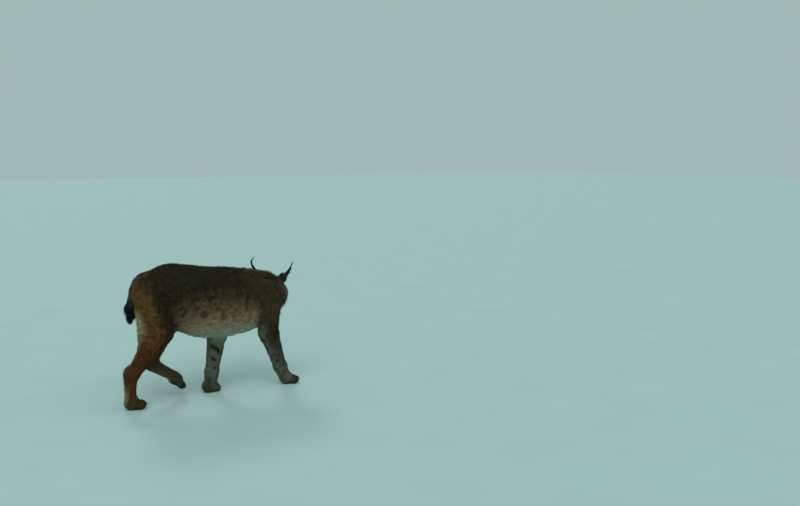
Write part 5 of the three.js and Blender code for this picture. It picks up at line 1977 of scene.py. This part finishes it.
lid_build = two_tone((0.006, 0.005, 0.004), (0.022, 0.015, 0.012), 600, 4, 0.5)
dark_skin = node_material("dark_lid_skin", 0.42, lid_build, specular=0.2)
print("bare skin", dark_skin.name)

# %% Lids and lips
LID_STANDS, RIM_WIDE = 1.1, 12.6


def lid_rim(side):
    """A tube round one eye, thicker above and at the inner corner."""
    a = np.linspace(0, 2 * math.pi, 48, endpoint=False)
    tall = np.where(np.sin(a) > 0, UPPER_LID + 0.1, LOWER_LID + 0.1)
    y, z = RIM_WIDE * np.cos(a), tall * np.sin(a) * (1 - 0.15 * np.cos(a) ** 2)
    reach = EYE_RADIUS + LID_STANDS
    rim = np.stack([np.sqrt(reach**2 - y * y - z * z), y, z], 1)
    from_corner = (a - (math.pi if side > 0 else 0) + math.pi) % (2 * math.pi) - math.pi
    inner = np.exp(-((from_corner / 0.4) ** 2))
    rim[:, 0] += 0.5 * inner
    thick = 1.3 + 0.7 * inner + 0.4 * (np.sin(a) > 0)
    return tube(rim @ gaze_turn(side).T + EYE_AT[side], thick, 8, True)


lips = (MOUTH + unit(MOUTH - MUZZLE_MID) * -0.9)[1:-1]
thin = 0.85 * np.sin(np.linspace(0.06, math.pi - 0.06, len(lips))) ** 0.8
front = MOUTH[len(MOUTH) // 2]
split = [[102, 0, -13], [99, 0, -19], front + np.array([0.4, 0, 4]), front]
rims = [lid_rim(-1), lid_rim(1), tube(lips, thin, 8), tube(split, [0.6, 0.6, 0.5, 0.7], 6)]
points, faces, _, corner_uv = joined(rims)
make_piece("lids_and_lips", from_head(points), faces, dark_skin, None, corner_uv)

# %% [markdown]
# ## The nose
# The nose is a pad of brick-red leather. Dark paint could stand for the nostrils, but from near they
# have to be hollow. So the pad is its own small surface net, with holes cut out.

# %% Nose


def nose_field(q):
    """The pad with its nostrils, and a shallow groove down the middle."""
    wings = both_sides(lambda s: ball((92, -s * 8, -8), (9, 7, 6)))
    pad = melted([ball((93, 0, -5), (11, 12, 8.5)), *wings, ball((97, 0, -12), (6, 3.5, 6))], 4)(q)
    for side in (-1, 1):
        round_part = ball((102, side * 5.6, -7.5), (6, 2.6, 2.5))
        slit = ball((99, side * 9.5, -8.6), (6, 3.4, 1.3))
        pad = np.maximum(pad, -melted([round_part, slit], 2)(q))
    return pad + 0.9 * np.exp(-((q[:, 1] / 0.9) ** 2)) * ramp(q[:, 2], (-9, 1), (-3, 0.2))


def netted(field, *lines):
    values = field(grid_points(*lines).reshape(-1, 3)).reshape([len(line) for line in lines])
    return surface_net(values, *lines)


fine = 0.7
nose_points, nose_faces = netted(nose_field, np.arange(78, 112, fine), np.arange(-20, 20.01, fine),
                                 np.arange(-24, 8, fine))
x, y, z = nose_points.T
nose_uv = np.stack([0.5 + y / 44, 0.6 + (z - 0.5 * x + 48) / 44], 1)
nose_build = two_tone((0.085, 0.036, 0.03), (0.19, 0.085, 0.068), 900, 4, 0.8)
nose_leather = node_material("nose_leather", 0.38, nose_build, coat=0.2)
nose = make_piece("nose_pad", from_head(nose_points), nose_faces, nose_leather, None,
                  nose_uv[nose_faces].reshape(-1, 2))
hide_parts("nose")

# %% [markdown]
# ## Paw pads
# A cat walks on one palm pad and four toe pads, black and bare. They hardly show on a standing paw, but
# the lifted one shows them. One set is netted in the paw's own frame and then carried to all four.

# %% Pads
LOWEST_PAD = 0.4


def pads_field(q):
    """The bare pads of one paw in its own frame, with the floor at zero."""
    toes = [ball((x + 5, y * 0.95, 6), (12, 9, 6)) for x, y, _ in PAW_TOES]
    lobes = both_sides(lambda s: ball((-17, -s * 11, 2), (9, 8, 7.5)))
    return melted([ball((-8, 0, 2), (17, 20, 8)), *lobes, *toes], 3)(q)


step = 1.8
pad_points, pad_faces = netted(pads_field, np.arange(-36, 58, step), np.arange(-46, 46.01, step),
                               np.arange(-9, 17, step))
pads = []
for i, leg in enumerate(LEGS.values()):
    rotation, place = leg["paw"]
    points = pad_points @ rotation.T + place
    points[:, 2] = np.maximum(points[:, 2], LOWEST_PAD)
    uv = np.array([0.1 + 0.25 * (i % 2), 0.1 + 0.4 * (i // 2)]) + (pad_points[:, :2] + 46) / 500
    uv += (pad_points[:, 2:] > 6) * np.array([0.0, 0.2])
    pads.append((points, pad_faces, np.zeros_like(points), uv[pad_faces].reshape(-1, 2)))
points, faces, _, corner_uv = joined(pads)
make_piece("paw_pads", points, faces, dark_skin, None, corner_uv)

# %% [markdown]
# ## Whiskers
# Four rows of white bristles stand on each side of the muzzle, and three over each eye. Flat strips
# would vanish when seen edge on, so they are round tubes.

# %% Whiskers
WHISKER_HALF, BROW_HALF = 0.42, 0.34


def bristle_tube(start, way, slowing, droop, half, places):
    """A bristle that sets out along way and droops more and more, thinning out to a point."""
    t = np.linspace(0, 1, places)[:, None]
    path = start + way * t * (1 - slowing * t) + droop * t * t
    return tube(path, half * (1 - 0.93 * t[:, 0]) + 0.02, 4)


def whisker(side, row, nth):
    """One whisker of a row, the nth from the nose."""
    start = np.array([80 - 6.5 * nth, side * 10, -15 - 4.6 * row])
    root = leaves(head_local, start, np.array([0, side * 1.0, 0]), 40) - np.array([0, side * 3, 0])
    way = unit(np.array([-0.25 - 0.12 * nth, side * 1.0, -0.12 - 0.1 * row]))
    droop = np.array([-0.85, side * 0.05, -0.5 - 0.1 * row])
    long = (38 + 9 * nth) * (1 + 0.1 * math.sin(7 * row + 3 * nth + side))
    return bristle_tube(root, way * long, 0.35, droop * long * 0.5, WHISKER_HALF, 9)


def brow_bristle(side, nth):
    start = np.array([44 - 5 * nth, side * (20 + 5 * nth), 24])
    up, back = np.array([0.35, side * 0.3, 1.0]), np.array([-1.0, side * 0.3, -0.1])
    return bristle_tube(start, up * 30, 0, back * 18, BROW_HALF, 7)


horn_build = two_tone((0.55, 0.53, 0.48), (0.78, 0.77, 0.72), 200)
bristle = node_material("whisker_bristle", 0.35, horn_build)
whiskers = []
for side in (-1, 1):
    whiskers += [whisker(side, row, nth) for row in range(4) for nth in range(4)]
    whiskers += [brow_bristle(side, nth) for nth in range(3)]
points, faces, _, corner_uv = joined(whiskers)
make_piece("whiskers", from_head(points), faces, bristle, None, corner_uv)

# %% [markdown]
# ## Camera
# The camera stands where the photo was taken. It could be moved by eye, but the perspective of the
# level ground gives its height, its tilt and its distance.

# %% Camera
CAMERA_AT = np.array([-1250.0, -3972.0, 1186.0])
PITCH = math.radians(6.52)
LENS, SENSOR = 38.61, 36
camera_data = bpy.data.cameras.new("camera")
camera_data.lens, camera_data.sensor_width = LENS, SENSOR
camera = bpy.data.objects.new("camera", camera_data)
camera.location = to_frame(CAMERA_AT)
ahead = LOOK / np.linalg.norm(LOOK) * math.cos(PITCH)
way = Vector((*ahead, -math.sin(PITCH)))
camera.rotation_mode = "QUATERNION"
camera.rotation_quaternion = way.to_track_quat("-Z", "Y")
bpy.context.scene.collection.objects.link(camera)
bpy.context.scene.camera = camera
print("camera", camera.location)

# %% [markdown]
# ## Floor and light
# The photo's light is soft and bluish. Area lamps would leave pools of light on so wide a floor. So
# three wide suns and an even sky light it, and the floor reaches to the horizon.

# %% Floor
FLOOR = 40
floor_build = two_tone((0.34, 0.47, 0.46), (0.38, 0.52, 0.51), 3.0)
floor_material = node_material("pale_floor", 0.9, floor_build, specular=0.1)
floor_mesh = bpy.data.meshes.new("floor")
floor_mesh.from_pydata([(-FLOOR, -FLOOR, 0), (FLOOR, -FLOOR, 0), (FLOOR, FLOOR, 0), (-FLOOR, FLOOR, 0)],
                       [], [(0, 1, 2, 3)])
floor_mesh.materials.append(floor_material)
floor = bpy.data.objects.new("floor", floor_mesh)
bpy.context.scene.collection.objects.link(floor)
print("floor", FLOOR * 2, "m across")

# %% Light
SKY, SKY_STRENGTH = (0.40, 0.53, 0.52, 1), 0.9


def soft_light(name, toward, strength, spread, colour):
    """A wide soft light that is even over the whole floor."""
    lamp = bpy.data.lights.new(name, "SUN")
    lamp.angle, lamp.energy, lamp.color = math.radians(spread), strength, colour
    light = bpy.data.objects.new(name, lamp)
    light.rotation_mode = "QUATERNION"
    light.rotation_quaternion = Vector(toward).to_track_quat("-Z", "Y")
    bpy.context.scene.collection.objects.link(light)


soft_light("key", (0.5, 0.75, -1.0), 1.5, 50, (1.0, 0.99, 0.96))
soft_light("fill", (-0.9, 0.5, -0.6), 0.45, 70, (0.95, 0.98, 1.0))
soft_light("back", (-0.2, -1.0, -0.7), 0.7, 14, (0.95, 0.99, 1.0))
world = bpy.data.worlds.new("studio")
world.use_nodes = True
world.node_tree.nodes["Background"].inputs["Color"].default_value = SKY
world.node_tree.nodes["Background"].inputs["Strength"].default_value = SKY_STRENGTH
bpy.context.scene.world = world
bpy.context.scene.view_settings.view_transform = "Standard"
